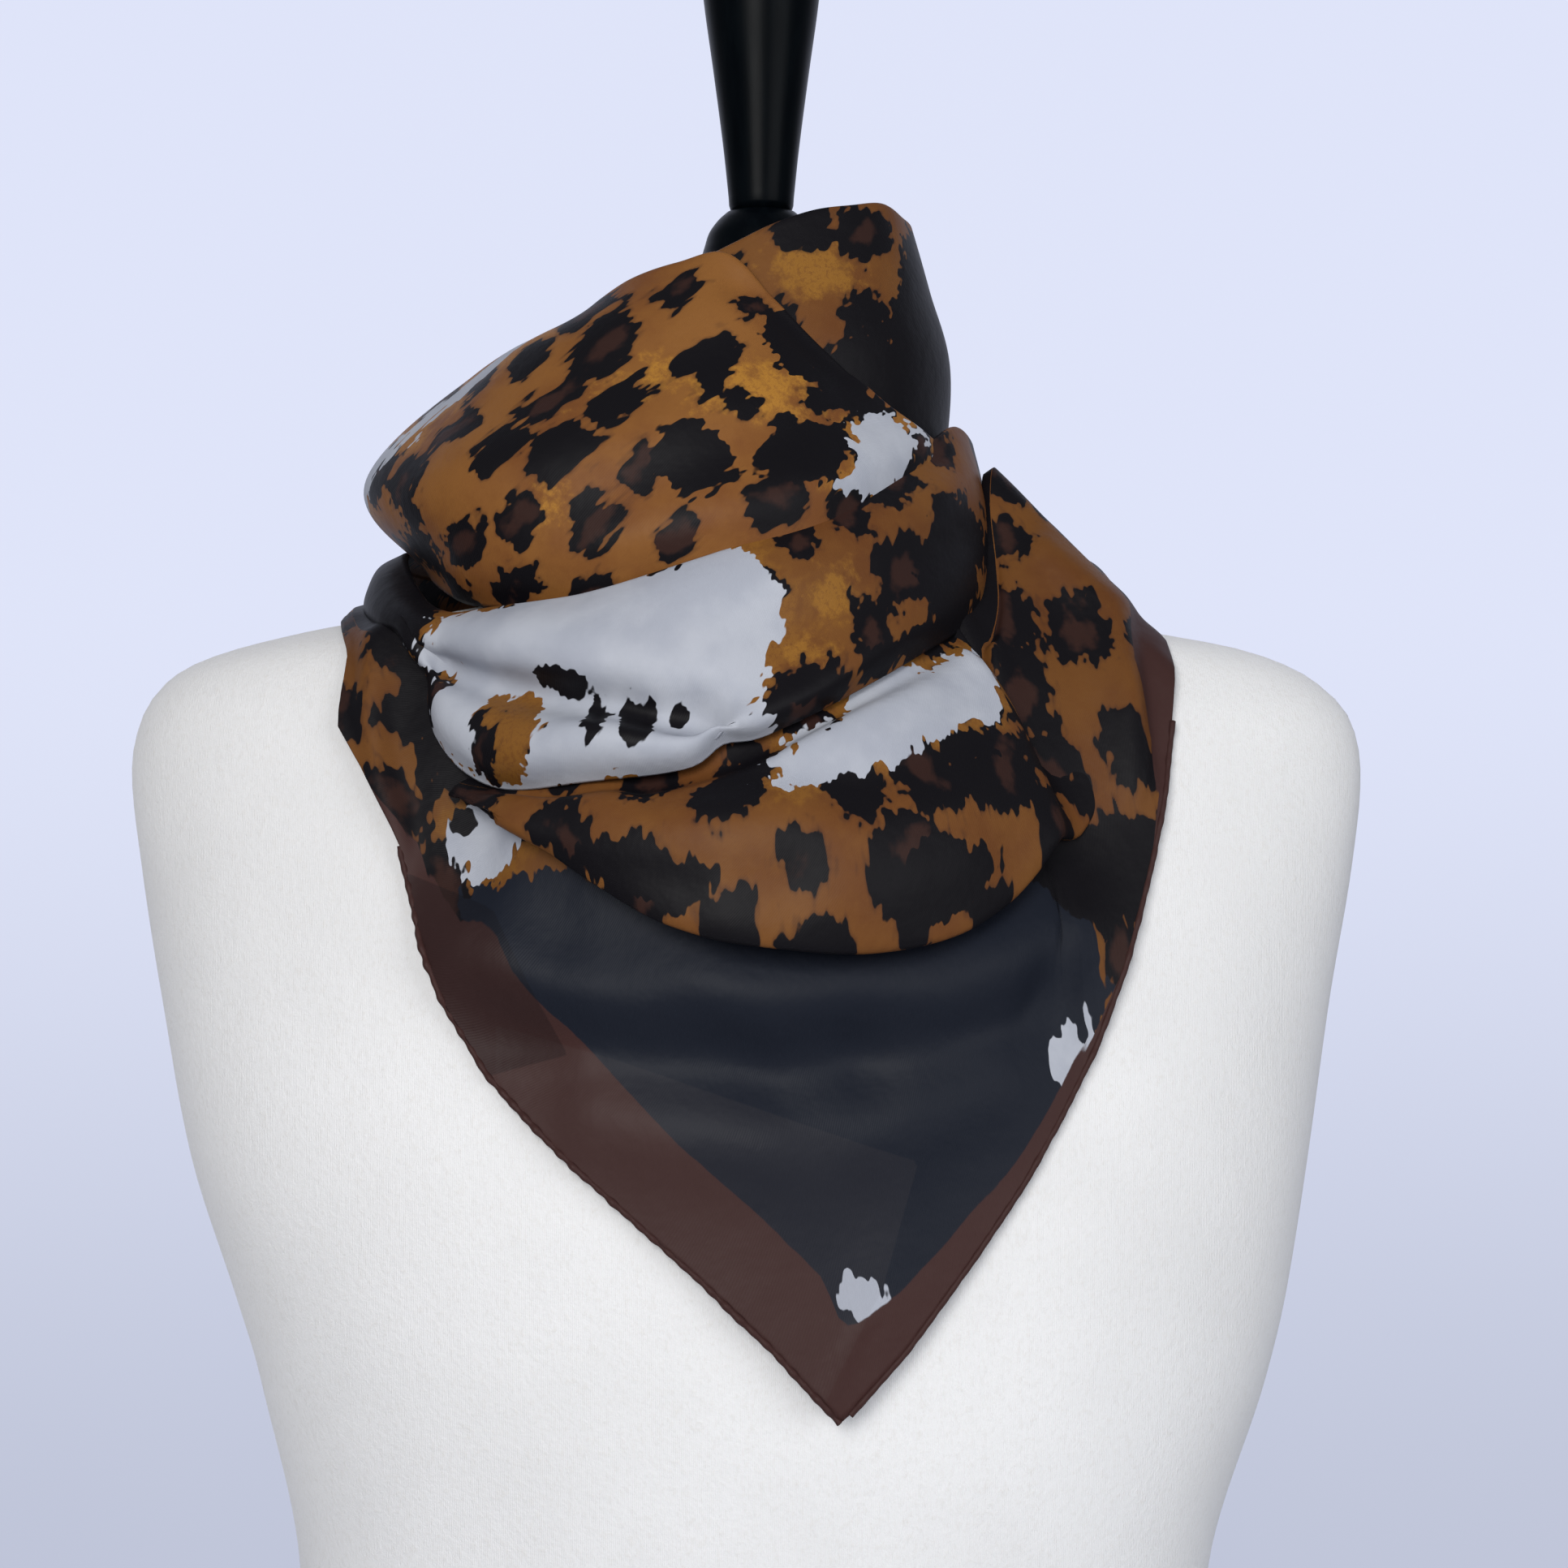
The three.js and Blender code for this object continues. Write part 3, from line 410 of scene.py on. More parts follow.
# Soft folds by stretch, seen from the front: width, height (a trough is below 0), then the
# X and Z of the points that the fold runs through.
FOLDS = {
    "upper_wrap": [
        (6, -2.6, -7, 701, 3, 698, 16, 684, 25, 675),
        (11, 3.8, 45, 653, 35, 648, -8, 630, -55, 617, -86, 615),
        (12, -1.1, 30, 659, -13, 643, -55, 628, -91, 625),
        (16, 1.1, 25, 671, -18, 656, -56, 647, -90, 645),
        (13, -0.9, 6, 688, -32, 674, -69, 663, -97, 655),
    ],
    "middle_wrap": [
        (6.5, -6.2, -94, 586, -79, 580, -69, 578, -54, 575, -40, 574, -24, 569, -15, 569),
        (14, 3.4, -98, 593, -69, 588, -40, 583, -15, 580),
        (11, 3, -89, 569, -68, 564, -44, 561, -21, 562),
        (6, -3.2, -19, 572, -13, 567, -10, 563),
        (8, -3.6, -91, 610, -55, 612, -27, 619, 6, 629, 37, 642, 52, 650),
        (12, 1.6, 6, 608, 29, 618, 55, 638),
        (8, -1.2, 6, 596, 29, 605, 60, 626),
    ],
    "front_cowl": [
        (13, -4, -55, 535, -39, 530, -16, 524, 6, 523),
        (15, 2.6, -68, 544, -39, 541, -8, 539, 26, 543, 57, 557),
        (8, -3.2, -31, 551, 4, 555, 29, 551, 57, 559),
        (12, 2, -7, 517, 26, 519, 56, 530),
    ],
    "outer_drape": [
        (16, 7.5, -81, 502, -66, 494, -40, 490, 4, 488, 50, 493, 86, 508),
        (14, -4.8, -68, 481, -31, 475, 4, 473, 24, 475),
        (12, -1.8, 33, 476, 50, 478, 81, 493),
        (16, 4.6, -44, 458, -21, 454, 4, 452, 38, 455, 64, 466),
        (10, -1.5, -54, 502, -31, 494, -8, 477, 15, 452),
        (2.2, 0.9, 29, 400, 23, 388, 18, 376),
        (3, 0.8, -77, 469, -63, 470, -49, 472),
        (5, 3, -116, 594, -117, 584, -117, 574, -116, 565, -114, 555, -110, 546, -106, 536),
        (4, -1.6, -121, 584, -122, 572, -118, 560),
        (5, 3, 87, 623, 98, 613, 107, 605, 111, 594, 112, 584, 112, 572, 112, 552),
        (5, -2.2, 115, 599, 116, 584, 117, 572, 118, 557),
        (9, -1.8, 89, 602, 95, 572, 94, 543, 88, 519),
        (9, 1.6, 83, 612, 86, 577, 83, 548, 76, 524),
    ],
}

# The same on the back, which the photograph doesn't show.
BACK_FOLDS = {
    "inner_collar": [
        (5, -1.8, -34, 650, -10, 668, 14, 690),
        (8, 1.5, -26, 640, 6, 655, 34, 672),
        (4, -1.4, 2, 640, 24, 652, 44, 668),
    ],
    "upper_wrap": [
        (6, -3.0, -58, 612, -30, 622, 8, 640, 40, 662),
        (10, 2.6, -50, 602, -12, 610, 30, 626, 56, 640),
        (5, -2.4, -20, 596, 12, 603, 44, 618),
        (5, -1.8, -66, 636, -46, 648, -24, 670),
    ],
    "middle_wrap": [
        (5, -2.6, -60, 606, -28, 604, 10, 612, 46, 628),
        (9, 2.2, -48, 596, -6, 597, 36, 610),
        (4.5, -2.0, 4, 600, 34, 606, 62, 620),
    ],
    "outer_drape": [
        (6, -2.8, -78, 606, -40, 600, 0, 600, 34, 606),
        (10, 2.4, -60, 596, -20, 590, 20, 592, 62, 606),
        (5, -2.2, 20, 610, 52, 614, 84, 622),
        (5, -2.0, -90, 616, -66, 622, -40, 620),
    ],
}

# How a stretch is tucked under its neighbours: angle, inward and upward reach.
TUCKS = {
    "outer_drape": [
        (-180, 2, 1), (-110, 2, 1), (-100, 5, 2), (-80, 6, 1), (-66, 7, 5), (-58, 4, 8),
        (-50, 2, 4), (-44, 2, 2), (40, 2, 2), (42.5, 14, 24), (44, 21, 36), (45.2, 14, 24),
        (46.5, 12, 22), (51, 12, 15), (57, 8, 4), (68, 3, -2), (80, 3, -2), (110, 2, 0),
        (178, 2, 1),
    ],
    "front_cowl": [
        (-70, 0, 0), (-40, 4, 2), (20, 6, 4), (34, 9, 10), (43, 9, 12), (50, 4, 4), (60, 0, 0),
    ],
}

# Width of the brown border by angle, measured in from the hem.
BORDER_WIDTHS = [
    (-80, 0), (-58, 0), (-54, 4), (-50, 7), (-44, 14), (-38, 23), (-28, 27), (-10, 25), (9, 24),
    (13, 16), (20, 11), (29, 8), (36, 5), (44, 4), (48, 2.5), (52, 0), (57, 0), (60, 4), (62, 8),
    (65, 14), (68, 15), (74, 12), (82, 3), (88, 0),
]


# A curve through the rows of values at the given stations, with slopes from both neighbours.
def smooth_curve(stations, values, at):
    stations = np.asarray(stations, float)
    values = np.asarray(values, float)
    last = len(stations) - 1
    i = np.clip(np.searchsorted(stations, at, side="left") - 1, 0, last - 1)
    before = np.maximum(np.arange(last + 1) - 1, 0)
    after = np.minimum(np.arange(last + 1) + 1, last)
    slopes = (values[after] - values[before]) / (stations[after] - stations[before])[:, None]
    span = (stations[i + 1] - stations[i])[:, None]
    t = (np.asarray(at) - stations[i])[:, None] / span
    t2 = t * t
    t3 = t2 * t
    return (
        (2 * t3 - 3 * t2 + 1) * values[i]
        + (t3 - 2 * t2 + t) * span * slopes[i]
        + (3 * t2 - 2 * t3) * values[i + 1]
        + (t3 - t2) * span * slopes[i + 1]
    )


# The middle surface of a stretch: points by angle and line, with the angles used.
def stretch_grid(rows, closed, across, straight):
    rows = np.array(rows, float)
    first, last = rows[0, 0], rows[0, 0] + 360 if closed else rows[-1, 0]
    steps = int(round((last - first) / ANGLE_STEP))
    at = np.linspace(first, last, steps + 1)
    if closed:
        at = at[:-1]
        back = rows[-3:] - np.eye(1, rows.shape[1])[0] * 360
        ahead = rows[:3] + np.eye(1, rows.shape[1])[0] * 360
        rows = np.vstack([back, rows, ahead])
    sections = smooth_curve(rows[:, 0], rows[:, 1:], at)
    for k in straight:
        for column in (2 * k, 2 * k + 1):
            sections[:, column] = np.interp(at, rows[:, 0], rows[:, 1 + column])
    lines = sections.shape[1] // 2
    by_line = sections.reshape(len(at), lines, 2).transpose(1, 0, 2).reshape(lines, -1)
    s = np.linspace(0, lines - 1, across + 1)
    dense = smooth_curve(np.arange(lines), by_line, s).reshape(across + 1, len(at), 2)
    radius, height = dense[:, :, 0].T, dense[:, :, 1].T
    turn = np.radians(at)[:, None]
    return np.stack([radius * np.sin(turn), -radius * np.cos(turn), height], 2), at


def unit(vectors):
    return vectors / np.maximum(np.linalg.norm(vectors, axis=-1, keepdims=True), 1e-9)


# Unit normals of a grid, pointing away from the neck.
def grid_normals(grid, closed):
    if closed:
        along = np.roll(grid, -1, 0) - np.roll(grid, 1, 0)
    else:
        along = np.gradient(grid, axis=0)
    down = np.gradient(grid, axis=1)
    return unit(np.cross(down, along))


# The fold that ends a doubled edge: the cloth turns over its rim and goes back down inside.
def with_lip(grid, closed, radius, drop):
    normals = grid_normals(grid, closed)
    up = unit(grid[:, 0] - grid[:, 1])
    inward = -normals[:, 0]
    lip = []
    for turn in np.radians([180, 150, 120, 90, 60, 30]):
        lip.append(grid[:, 0] + radius * (np.sin(turn) * up + (1 - np.cos(turn)) * inward))
    tail = [lip[0] - up * drop * part for part in (1, 0.66, 0.33)]
    return np.concatenate([np.stack(tail + lip, 1), grid], 1)


# Lines from the rim inward and up, mostly out of sight under the next stretch; where they show in a gap,
# their black is painted shade.
def with_tuck(grid, at, reaches):
    rows = np.array(reaches, float)
    inward = np.interp(at, rows[:, 0], rows[:, 1])
    upward = np.interp(at, rows[:, 0], rows[:, 2])
    turn = np.radians(at)
    reach = np.stack([-inward * np.sin(turn), inward * np.cos(turn), upward], 1)
    lines = [grid[:, 0] + reach * part / TUCK_LINES for part in range(TUCK_LINES, 0, -1)]
    return np.concatenate([np.stack(lines, 1), grid], 1)


# A sum of sine waves in fixed directions: the small unevenness of hand wound cloth.
def ripples(points, scale, amount, seed, count=14):
    random = np.random.default_rng(seed)
    total = np.zeros(points.shape[:-1])
    for _ in range(count):
        direction = unit(random.normal(size=3))
        wave = points @ direction * (2 * math.pi / (scale * random.uniform(0.6, 1.6)))
        total += np.sin(wave + random.uniform(0, 2 * math.pi))
    return total * amount / math.sqrt(count)


# Distance from each point to a line of points, in the plane that the viewer sees.
def line_distance(x, z, line):
    best = np.full(x.shape, 1e9)
    for (x0, z0), (x1, z1) in zip(line[:-1], line[1:]):
        dx, dz = x1 - x0, z1 - z0
        t = np.clip(((x - x0) * dx + (z - z0) * dz) / (dx * dx + dz * dz), 0, 1)
        best = np.minimum(best, np.hypot(x - x0 - t * dx, z - z0 - t * dz))
    return best


# A stretch with its folds pushed along its normals, each side's folds on that side only.
def folded(name, grid, closed):
    normals = grid_normals(grid, closed)
    x, y, z = grid[..., 0], grid[..., 1], grid[..., 2]
    push = np.zeros(x.shape)
    for folds, side in ((FOLDS, 1), (BACK_FOLDS, -1)):
        facing = 1 / (1 + np.exp(side * y / SIDE_BLEND))
        for width, height, *line in folds.get(name, []):
            away = line_distance(x, z, list(zip(line[0::2], line[1::2])))
            push += facing * height * np.exp(-((away / width) ** 2))
    return grid + normals * push[..., None]


# How far inside a zone each point lies, in millimetres, largest of the zones of that tone.
def zone_field(name, grid, tone):
    x, y, z = grid[..., 0], grid[..., 1], grid[..., 2]
    field = np.full(x.shape, FAR_OUTSIDE)
    for kind, cx, cz, half_width, half_height, tilt in ZONES.get(name, []):
        if kind != tone:
            continue
        turn = math.radians(tilt)
        u = ((x - cx) * math.cos(turn) + (z - cz) * math.sin(turn)) / half_width
        v = ((z - cz) * math.cos(turn) - (x - cx) * math.sin(turn)) / half_height
        inside = (1 - np.hypot(u, v)) * min(half_width, half_height)
        field = np.maximum(field, np.minimum(inside, (ZONE_DEPTH - y) * 0.5))
    for kind, *line in PANELS.get(name, []):
        if kind == tone:
            corners = list(zip(line[0::2], line[1::2]))
            field = np.maximum(field, np.minimum(panel_depth(x, z, corners), ZONE_DEPTH - y))
    return field


# Distance inside a convex panel, its corners given clockwise as the viewer sees them.
def panel_depth(x, z, corners):
    depth = np.full(x.shape, 1e9)
    for (x0, z0), (x1, z1) in zip(corners, corners[1:] + corners[:1]):
        dx, dz = x1 - x0, z1 - z0
        depth = np.minimum(depth, ((z0 - z) * dx - (x0 - x) * dz) / math.hypot(dx, dz))
    return depth


# How far inside an animal spot, and inside its brown core, each point lies, in millimetres.
# Spots keep their spacing, run along the brush strokes and grow one or two smaller lobes.
def spot_fields(grid, closed, lean, spacing, reach, seed):
    points = grid.reshape(-1, 3)
    normals = grid_normals(grid, closed).reshape(-1, 3)
    random = np.random.default_rng(seed)
    nearest = np.full(len(points), 1e9)
    spot = np.full(len(points), FAR_OUTSIDE)
    core = np.full(len(points), FAR_OUTSIDE)
    while (nearest > spacing).any():
        pick = random.choice(np.flatnonzero(nearest > spacing))
        away = points - points[pick]
        nearest = np.minimum(nearest, np.linalg.norm(away, axis=1))
        tilt = lean + random.uniform(-SPOT_LEAN, SPOT_LEAN)
        stroke = np.array([-math.sin(tilt), 0, math.cos(tilt)])
        along = unit(stroke - normals[pick] * (normals[pick] @ stroke))
        u, v = away @ along, away @ np.cross(normals[pick], along)
        off = np.abs(away @ normals[pick]) / reach
        size = reach * random.uniform(*SPOT_SIZES)
        for share in (1.0, random.uniform(*SECOND_LOBES), random.uniform(*THIRD_LOBES)):
            du, dv = random.uniform(-LOBE_SHIFT, LOBE_SHIFT, 2) * size * (share < 1)
            length = size * share * random.uniform(*LOBE_LENGTHS)
            width = size * share * random.uniform(*LOBE_WIDTHS)
            across = np.abs((v - dv) / width)
            out = (np.abs((u - du) / length) ** 3 + across ** 3 + off ** 3) ** (1 / 3)
            spot = np.maximum(spot, (1 - out) * width)
        if random.uniform() < CORE_CHANCE:
            middle = 1 - np.hypot(u / (CORE_LENGTH * size), v / (CORE_WIDTH * size))
            core = np.maximum(core, (middle - off) * CORE_WIDTH * size)
    wobble = ripples(points, WOBBLE_LENGTH, WOBBLE, seed + WOBBLE_SEED)
    return (spot + wobble).reshape(grid.shape[:2]), (core + wobble).reshape(grid.shape[:2])


def running_total(steps):
    return np.concatenate([[0], np.cumsum(steps)])


# Distance along a line of points to each of them.
def line_lengths(points):
    return running_total(np.linalg.norm(np.diff(points, axis=0), axis=1))


# Mean distance round and down a grid to each of its columns and lines.
def arc_lengths(grid, closed):
    u = running_total(np.linalg.norm(np.diff(grid, axis=0), axis=2).mean(1))
    v = running_total(np.linalg.norm(np.diff(grid, axis=1), axis=2).mean(0))
    if closed:
        u = np.append(u, u[-1] + np.linalg.norm(grid[0] - grid[-1], axis=1).mean())
    return u, v


# A linked object over points in millimetres.
def mesh_object(name, points, faces):
    mesh = bpy.data.meshes.new(name)
    mesh.from_pydata((points.reshape(-1, 3) * MM).tolist(), [], faces)
    mesh.shade_smooth()
    piece = bpy.data.objects.new(name, mesh)
    bpy.context.scene.collection.objects.link(piece)
    return piece


# Point values, one for each vertex, that the materials read.
def put_values(mesh, name, values):
    field = mesh.attributes.new(name, "FLOAT", "POINT")
    field.data.foreach_set("value", values.reshape(-1).astype(np.float32))


# A sheet over a grid of points, with its cloth coordinates in metres.
def grid_object(name, grid, closed, tones):
    n, m = grid.shape[:2]
    columns = n if closed else n - 1
    i, j = np.meshgrid(np.arange(columns), np.arange(m - 1), indexing="ij")
    ahead = (i + 1) % n
    corners = np.stack([i * m + j, i * m + j + 1, ahead * m + j + 1, ahead * m + j], 2)
    piece = mesh_object(name, grid, corners.reshape(-1, 4).tolist())
    u, v = arc_lengths(grid, closed)
    uv = np.stack([
        np.stack([u[i], v[j]], 2), np.stack([u[i], v[j + 1]], 2),
        np.stack([u[i + 1], v[j + 1]], 2), np.stack([u[i + 1], v[j]], 2),
    ], 2)
    layer = piece.data.uv_layers.new(name="cloth")
    layer.data.foreach_set("uv", (uv.reshape(-1) * MM).astype(np.float32))
    for tone, field in tones.items():
        put_values(piece.data, tone, field)
    return piece


# A material's nodes, added with short calls.
class Nodes:
    def __init__(self, name):
        self.material = bpy.data.materials.new(name)
        self.material.use_nodes = True
        self.tree = self.material.node_tree
        self.shader = self.tree.nodes["Principled BSDF"]

    def add(self, kind, settings=None, **inputs):
        node = self.tree.nodes.new("ShaderNode" + kind)
        for key, value in (settings or {}).items():
            setattr(node, key, value)
        for key, value in inputs.items():
            name = int(key[1:]) if key[0] == "_" else key.replace("_", " ")
            socket = node.inputs[name]
            self.put(socket, value)
        return node

    def put(self, socket, value):
        if isinstance(value, bpy.types.NodeSocket):
            self.tree.links.new(value, socket)
        else:
            socket.default_value = value

    def math(self, operation, a, b=0.0, c=0.0, clamp=False):
        node = self.add("Math", {"operation": operation, "use_clamp": clamp}, _0=a, _1=b, _2=c)
        return node.outputs[0]

    def value(self, name):
        return self.add("Attribute", {"attribute_name": name}).outputs["Fac"]

    def times(self, a, b):
        return self.math("MULTIPLY", a, b)

    def total(self, a, b):
        return self.math("ADD", a, b)

    # a value between 0 and 1 moved to lie about 0
    def centred(self, value):
        return self.math("SUBTRACT", value, 0.5)

    def noise(self, where, scale, detail=3.0, roughness=0.55):
        node = self.add("TexNoise", None, Vector=where, Scale=scale, Detail=detail, Roughness=roughness)
        return node.outputs["Fac"]

    # 0 below low and 1 above high, with a soft step between
    def step(self, value, low, high):
        node = self.add("MapRange", {"interpolation_type": "SMOOTHSTEP"}, Value=value)
        node.inputs["From Min"].default_value = low
        node.inputs["From Max"].default_value = high
        return node.outputs["Result"]

    # 0 outside and 1 inside, where the value passes 0
    def inside(self, value, softness):
        return self.step(value, -softness, softness)

    def mix(self, share, a, b):
        node = self.add("Mix", {"data_type": "RGBA"})
        self.put(node.inputs[0], share)
        self.put(node.inputs[6], a)
        self.put(node.inputs[7], b)
        return node.outputs[2]

    def scaled(self, vector, factors):
        return self.add("VectorMath", {"operation": "MULTIPLY"}, _0=vector, _1=factors).outputs[0]

    def plus(self, a, b):
        return self.add("VectorMath", {"operation": "ADD"}, _0=a, _1=b).outputs[0]

    def bump(self, height, distance, normal=None):
        node = self.add("Bump", None, Strength=1.0, Distance=distance, Height=height)
        if normal is not None:
            self.put(node.inputs["Normal"], normal)
        return node.outputs["Normal"]

    def finish(self, **inputs):
        for key, value in inputs.items():
            self.put(self.shader.inputs[key.replace("_", " ")], value)
        return self.material


def colour(r, g, b):
    return (r, g, b, 1.0)


RUST = colour(0.156, 0.057, 0.016)
# Rust darkened on some stretches: partly deeper dye, partly painted shade.
DEEP_RUST_AND_SHADE = colour(0.055, 0.018, 0.005)
OCHRE = colour(0.213, 0.088, 0.022)
GOLDEN = colour(0.350, 0.160, 0.026)
SPOT_BLACK = colour(0.0040, 0.0034, 0.0048)
SPOT_CORE = colour(0.034, 0.0145, 0.0110)
# Dark print painted lighter and bluer: partly a painted sheen.
DARK_PRINT_AND_SHEEN = colour(0.0085, 0.0108, 0.0180)
PALE = colour(0.415, 0.435, 0.485)
PALE_SHADE = colour(0.350, 0.370, 0.425)
BROWN = colour(0.044, 0.0195, 0.0175)
VEIL = colour(0.085, 0.070, 0.066)
SILK_SHEEN = colour(0.85, 0.88, 1.0)
JERSEY_LOW = colour(0.725, 0.725, 0.725)
JERSEY_HIGH = colour(0.79, 0.79, 0.79)
JERSEY_FLUFF = colour(0.69, 0.67, 0.64)
JERSEY_KNIT = colour(0.66, 0.64, 0.61)
LACQUER_LOW = colour(0.0006, 0.0014, 0.0024)
LACQUER_HIGH = colour(0.0014, 0.0026, 0.0038)
FLOOR_LOW = colour(0.50, 0.52, 0.57)
FLOOR_HIGH = colour(0.54, 0.56, 0.61)
# The wall's glow: painted light, brighter towards the top, with soft paler patches.
WALL_LOW = colour(0.505, 0.54, 0.675)
WALL_HIGH = colour(0.735, 0.775, 0.95)
WALL_GLOW_PATCH = colour(0.80, 0.82, 0.90)
ROOM_LOW = colour(0.04, 0.04, 0.045)
ROOM_HIGH = colour(0.23, 0.24, 0.27)


# Each turn of the cloth shows another part of the print.
def print_place(n):
    turn = n.add("CombineXYZ", None, X=n.value("turn"), Y=0.0, Z=0.0).outputs[0]
    return n.plus(n.add("TexCoord").outputs["Object"], turn)


# The rust, ochre and golden ground that the spots lie on.
def dyed_ground(n, where, fine, pale_at):
    broad = n.noise(where, 26, 4)
    grain = n.noise(where, 620, 4, 0.7)
    ground = n.mix(n.step(broad, 0.40, 0.66), RUST, OCHRE)
    ground = n.mix(n.times(n.step(fine, 0.45, 0.75), 0.45), ground, OCHRE)
    golden = n.total(n.value("golden"), n.times(n.centred(fine), GOLDEN_FRAY))
    golden = n.math("MAXIMUM", n.step(golden, -2, 6), n.times(n.step(pale_at, -6, -1), 0.55))
    golden = n.times(golden, n.math("ADD", n.step(grain, 0.36, 0.62), 0.45, clamp=True))
    ground = n.mix(golden, ground, GOLDEN)
    ground = n.mix(n.times(n.step(grain, 0.52, 0.75), 0.25), ground, RUST)
    # Darkened by stretch: partly deeper dye, partly painted shade.
    return n.mix(n.value("deep_dye_and_shade"), ground, DEEP_RUST_AND_SHADE)


# Black spots with brown cores, brushed along the strokes.
def spotted(n, brushed, streak, ground):
    spot_at = n.total(n.value("spot"), n.times(streak, STROKE_FRAY))
    ground = n.mix(n.times(n.step(spot_at, -1.6, 0.4), 0.45), ground, SPOT_CORE)
    smear = n.noise(n.scaled(brushed, (1.0, 1.0, 0.6)), 120, 3)
    core_at = n.total(n.value("core"), n.times(n.centred(smear), CORE_FRAY))
    dark = n.mix(n.times(n.step(core_at, -1.2, 1.6), 0.85), SPOT_BLACK, SPOT_CORE)
    return n.mix(n.inside(spot_at, SPOT_EDGE), ground, dark)


# The pale and dark zones over the spots, frayed along the strokes. Some black zones are painted shade,
# and the drape's bluer dark is partly a painted sheen.
def zoned(n, where, edge, pale_at, cloth):
    tones = ("ink_and_shade", "dark_print_and_sheen", "printed")
    ink_and_shade, dark_print_and_sheen, printed = [n.inside(n.total(n.value(tone), edge), ZONE_EDGE) for tone in tones]
    pale = n.times(n.inside(pale_at, PALE_EDGE), n.math("SUBTRACT", 1.0, printed))
    cloth = n.mix(dark_print_and_sheen, n.mix(ink_and_shade, cloth, SPOT_BLACK), DARK_PRINT_AND_SHEEN)
    silvery = n.mix(n.step(n.noise(where, 40, 3), 0.38, 0.64), PALE_SHADE, PALE)
    cloth = n.mix(pale, cloth, silvery)
    marks = n.inside(n.total(n.value("mark"), n.times(edge, MARK_FRAY_SHARE)), PALE_EDGE)
    return n.mix(marks, cloth, SPOT_BLACK)


# The brown border, and the layers that show through or lie in shade.
def bordered(n, fine, cloth):
    border = n.total(n.value("border"), n.times(n.centred(fine), BORDER_FRAY))
    cloth = n.mix(n.inside(border, PALE_EDGE), cloth, BROWN)
    for layer, share, tint in (("veil", VEIL_SHARE, VEIL), ("shade", SHADE_SHARE, SPOT_BLACK)):
        shown = n.times(n.inside(n.value(layer), LAYER_EDGE), share)
        cloth = n.mix(shown, cloth, tint)
    return cloth


# The twill's fine diagonal ribs under slight unevenness.
def twill_relief(n, where):
    threads = n.add("UVMap", {"uv_map": "cloth"}).outputs[0]
    diagonal = {"bands_direction": "DIAGONAL"}
    twill = n.add("TexWave", diagonal, Vector=threads, Scale=900.0, Distortion=0.6)
    weave = n.bump(twill.outputs["Fac"], TWILL_HEIGHT)
    return n.bump(n.noise(where, 85, 3), SILK_CLOUD_HEIGHT, weave)


def silk():
    n = Nodes("printed_silk")
    where = print_place(n)
    lean = n.value("lean")
    brushed = n.add("VectorRotate", {"rotation_type": "Y_AXIS"}, Vector=where, Angle=lean).outputs[0]
    fine = n.noise(where, 150, 5, 0.65)
    streak = n.centred(n.noise(n.scaled(brushed, (1.0, 1.0, 0.20)), 340, 1))
    coarse = n.centred(n.noise(where, 70, 2))
    edge = n.total(n.times(streak, STROKE_FRAY), n.times(coarse, BROAD_FRAY))
    pale_at = n.total(n.value("pale"), edge)
    cloth = dyed_ground(n, where, fine, pale_at)
    cloth = spotted(n, brushed, streak, cloth)
    cloth = zoned(n, where, edge, pale_at, cloth)
    cloth = bordered(n, fine, cloth)
    return n.finish(
        Base_Color=cloth, Roughness=0.50, Normal=twill_relief(n, where), Sheen_Weight=0.008,
        Sheen_Roughness=0.3, Sheen_Tint=SILK_SHEEN, Specular_IOR_Level=0.12,
    )


def jersey():
    n = Nodes("cream_jersey")
    where = n.add("TexCoord").outputs["Object"]
    fluff = n.noise(where, 420, 4, 0.7)
    weave = n.noise(n.scaled(where, (1.0, 1.0, 0.45)), 900, 2, 0.6)
    base = n.mix(n.step(n.noise(where, 9, 4), 0.3, 0.7), JERSEY_LOW, JERSEY_HIGH)
    base = n.mix(n.times(n.step(fluff, 0.52, 0.72), 0.4), base, JERSEY_FLUFF)
    base = n.mix(n.times(n.step(weave, 0.5, 0.7), 0.25), base, JERSEY_KNIT)
    knitted = {"bands_direction": "X", "wave_profile": "TRI"}
    knit = n.add("TexWave", knitted, Vector=where, Scale=560.0, Distortion=2.0)
    rows = n.bump(knit.outputs["Fac"], KNIT_HEIGHT)
    lumps = n.bump(fluff, FLUFF_HEIGHT, rows)
    return n.finish(
        Base_Color=base, Roughness=0.9, Normal=lumps, Sheen_Weight=0.25, Sheen_Roughness=0.6,
        Specular_IOR_Level=0.2,
    )


def lacquer():
    n = Nodes("black_lacquer")
    where = n.add("TexCoord").outputs["Object"]
    grain = n.noise(n.scaled(where, (1, 1, 0.12)), 240, 4)
    base = n.mix(n.step(grain, 0.4, 0.7), LACQUER_LOW, LACQUER_HIGH)
    rough = n.total(n.times(n.noise(where, 30, 3), 0.12), 0.28)
    return n.finish(
        Base_Color=base, Roughness=rough, Normal=n.bump(grain, GRAIN_HEIGHT), Specular_IOR_Level=0.05,
    )


MATERIALS = {"silk": silk(), "jersey": jersey(), "lacquer": lacquer()}
TONES = ("golden", "pale", "ink_and_shade", "dark_print_and_sheen", "printed", "mark", "veil", "shade")

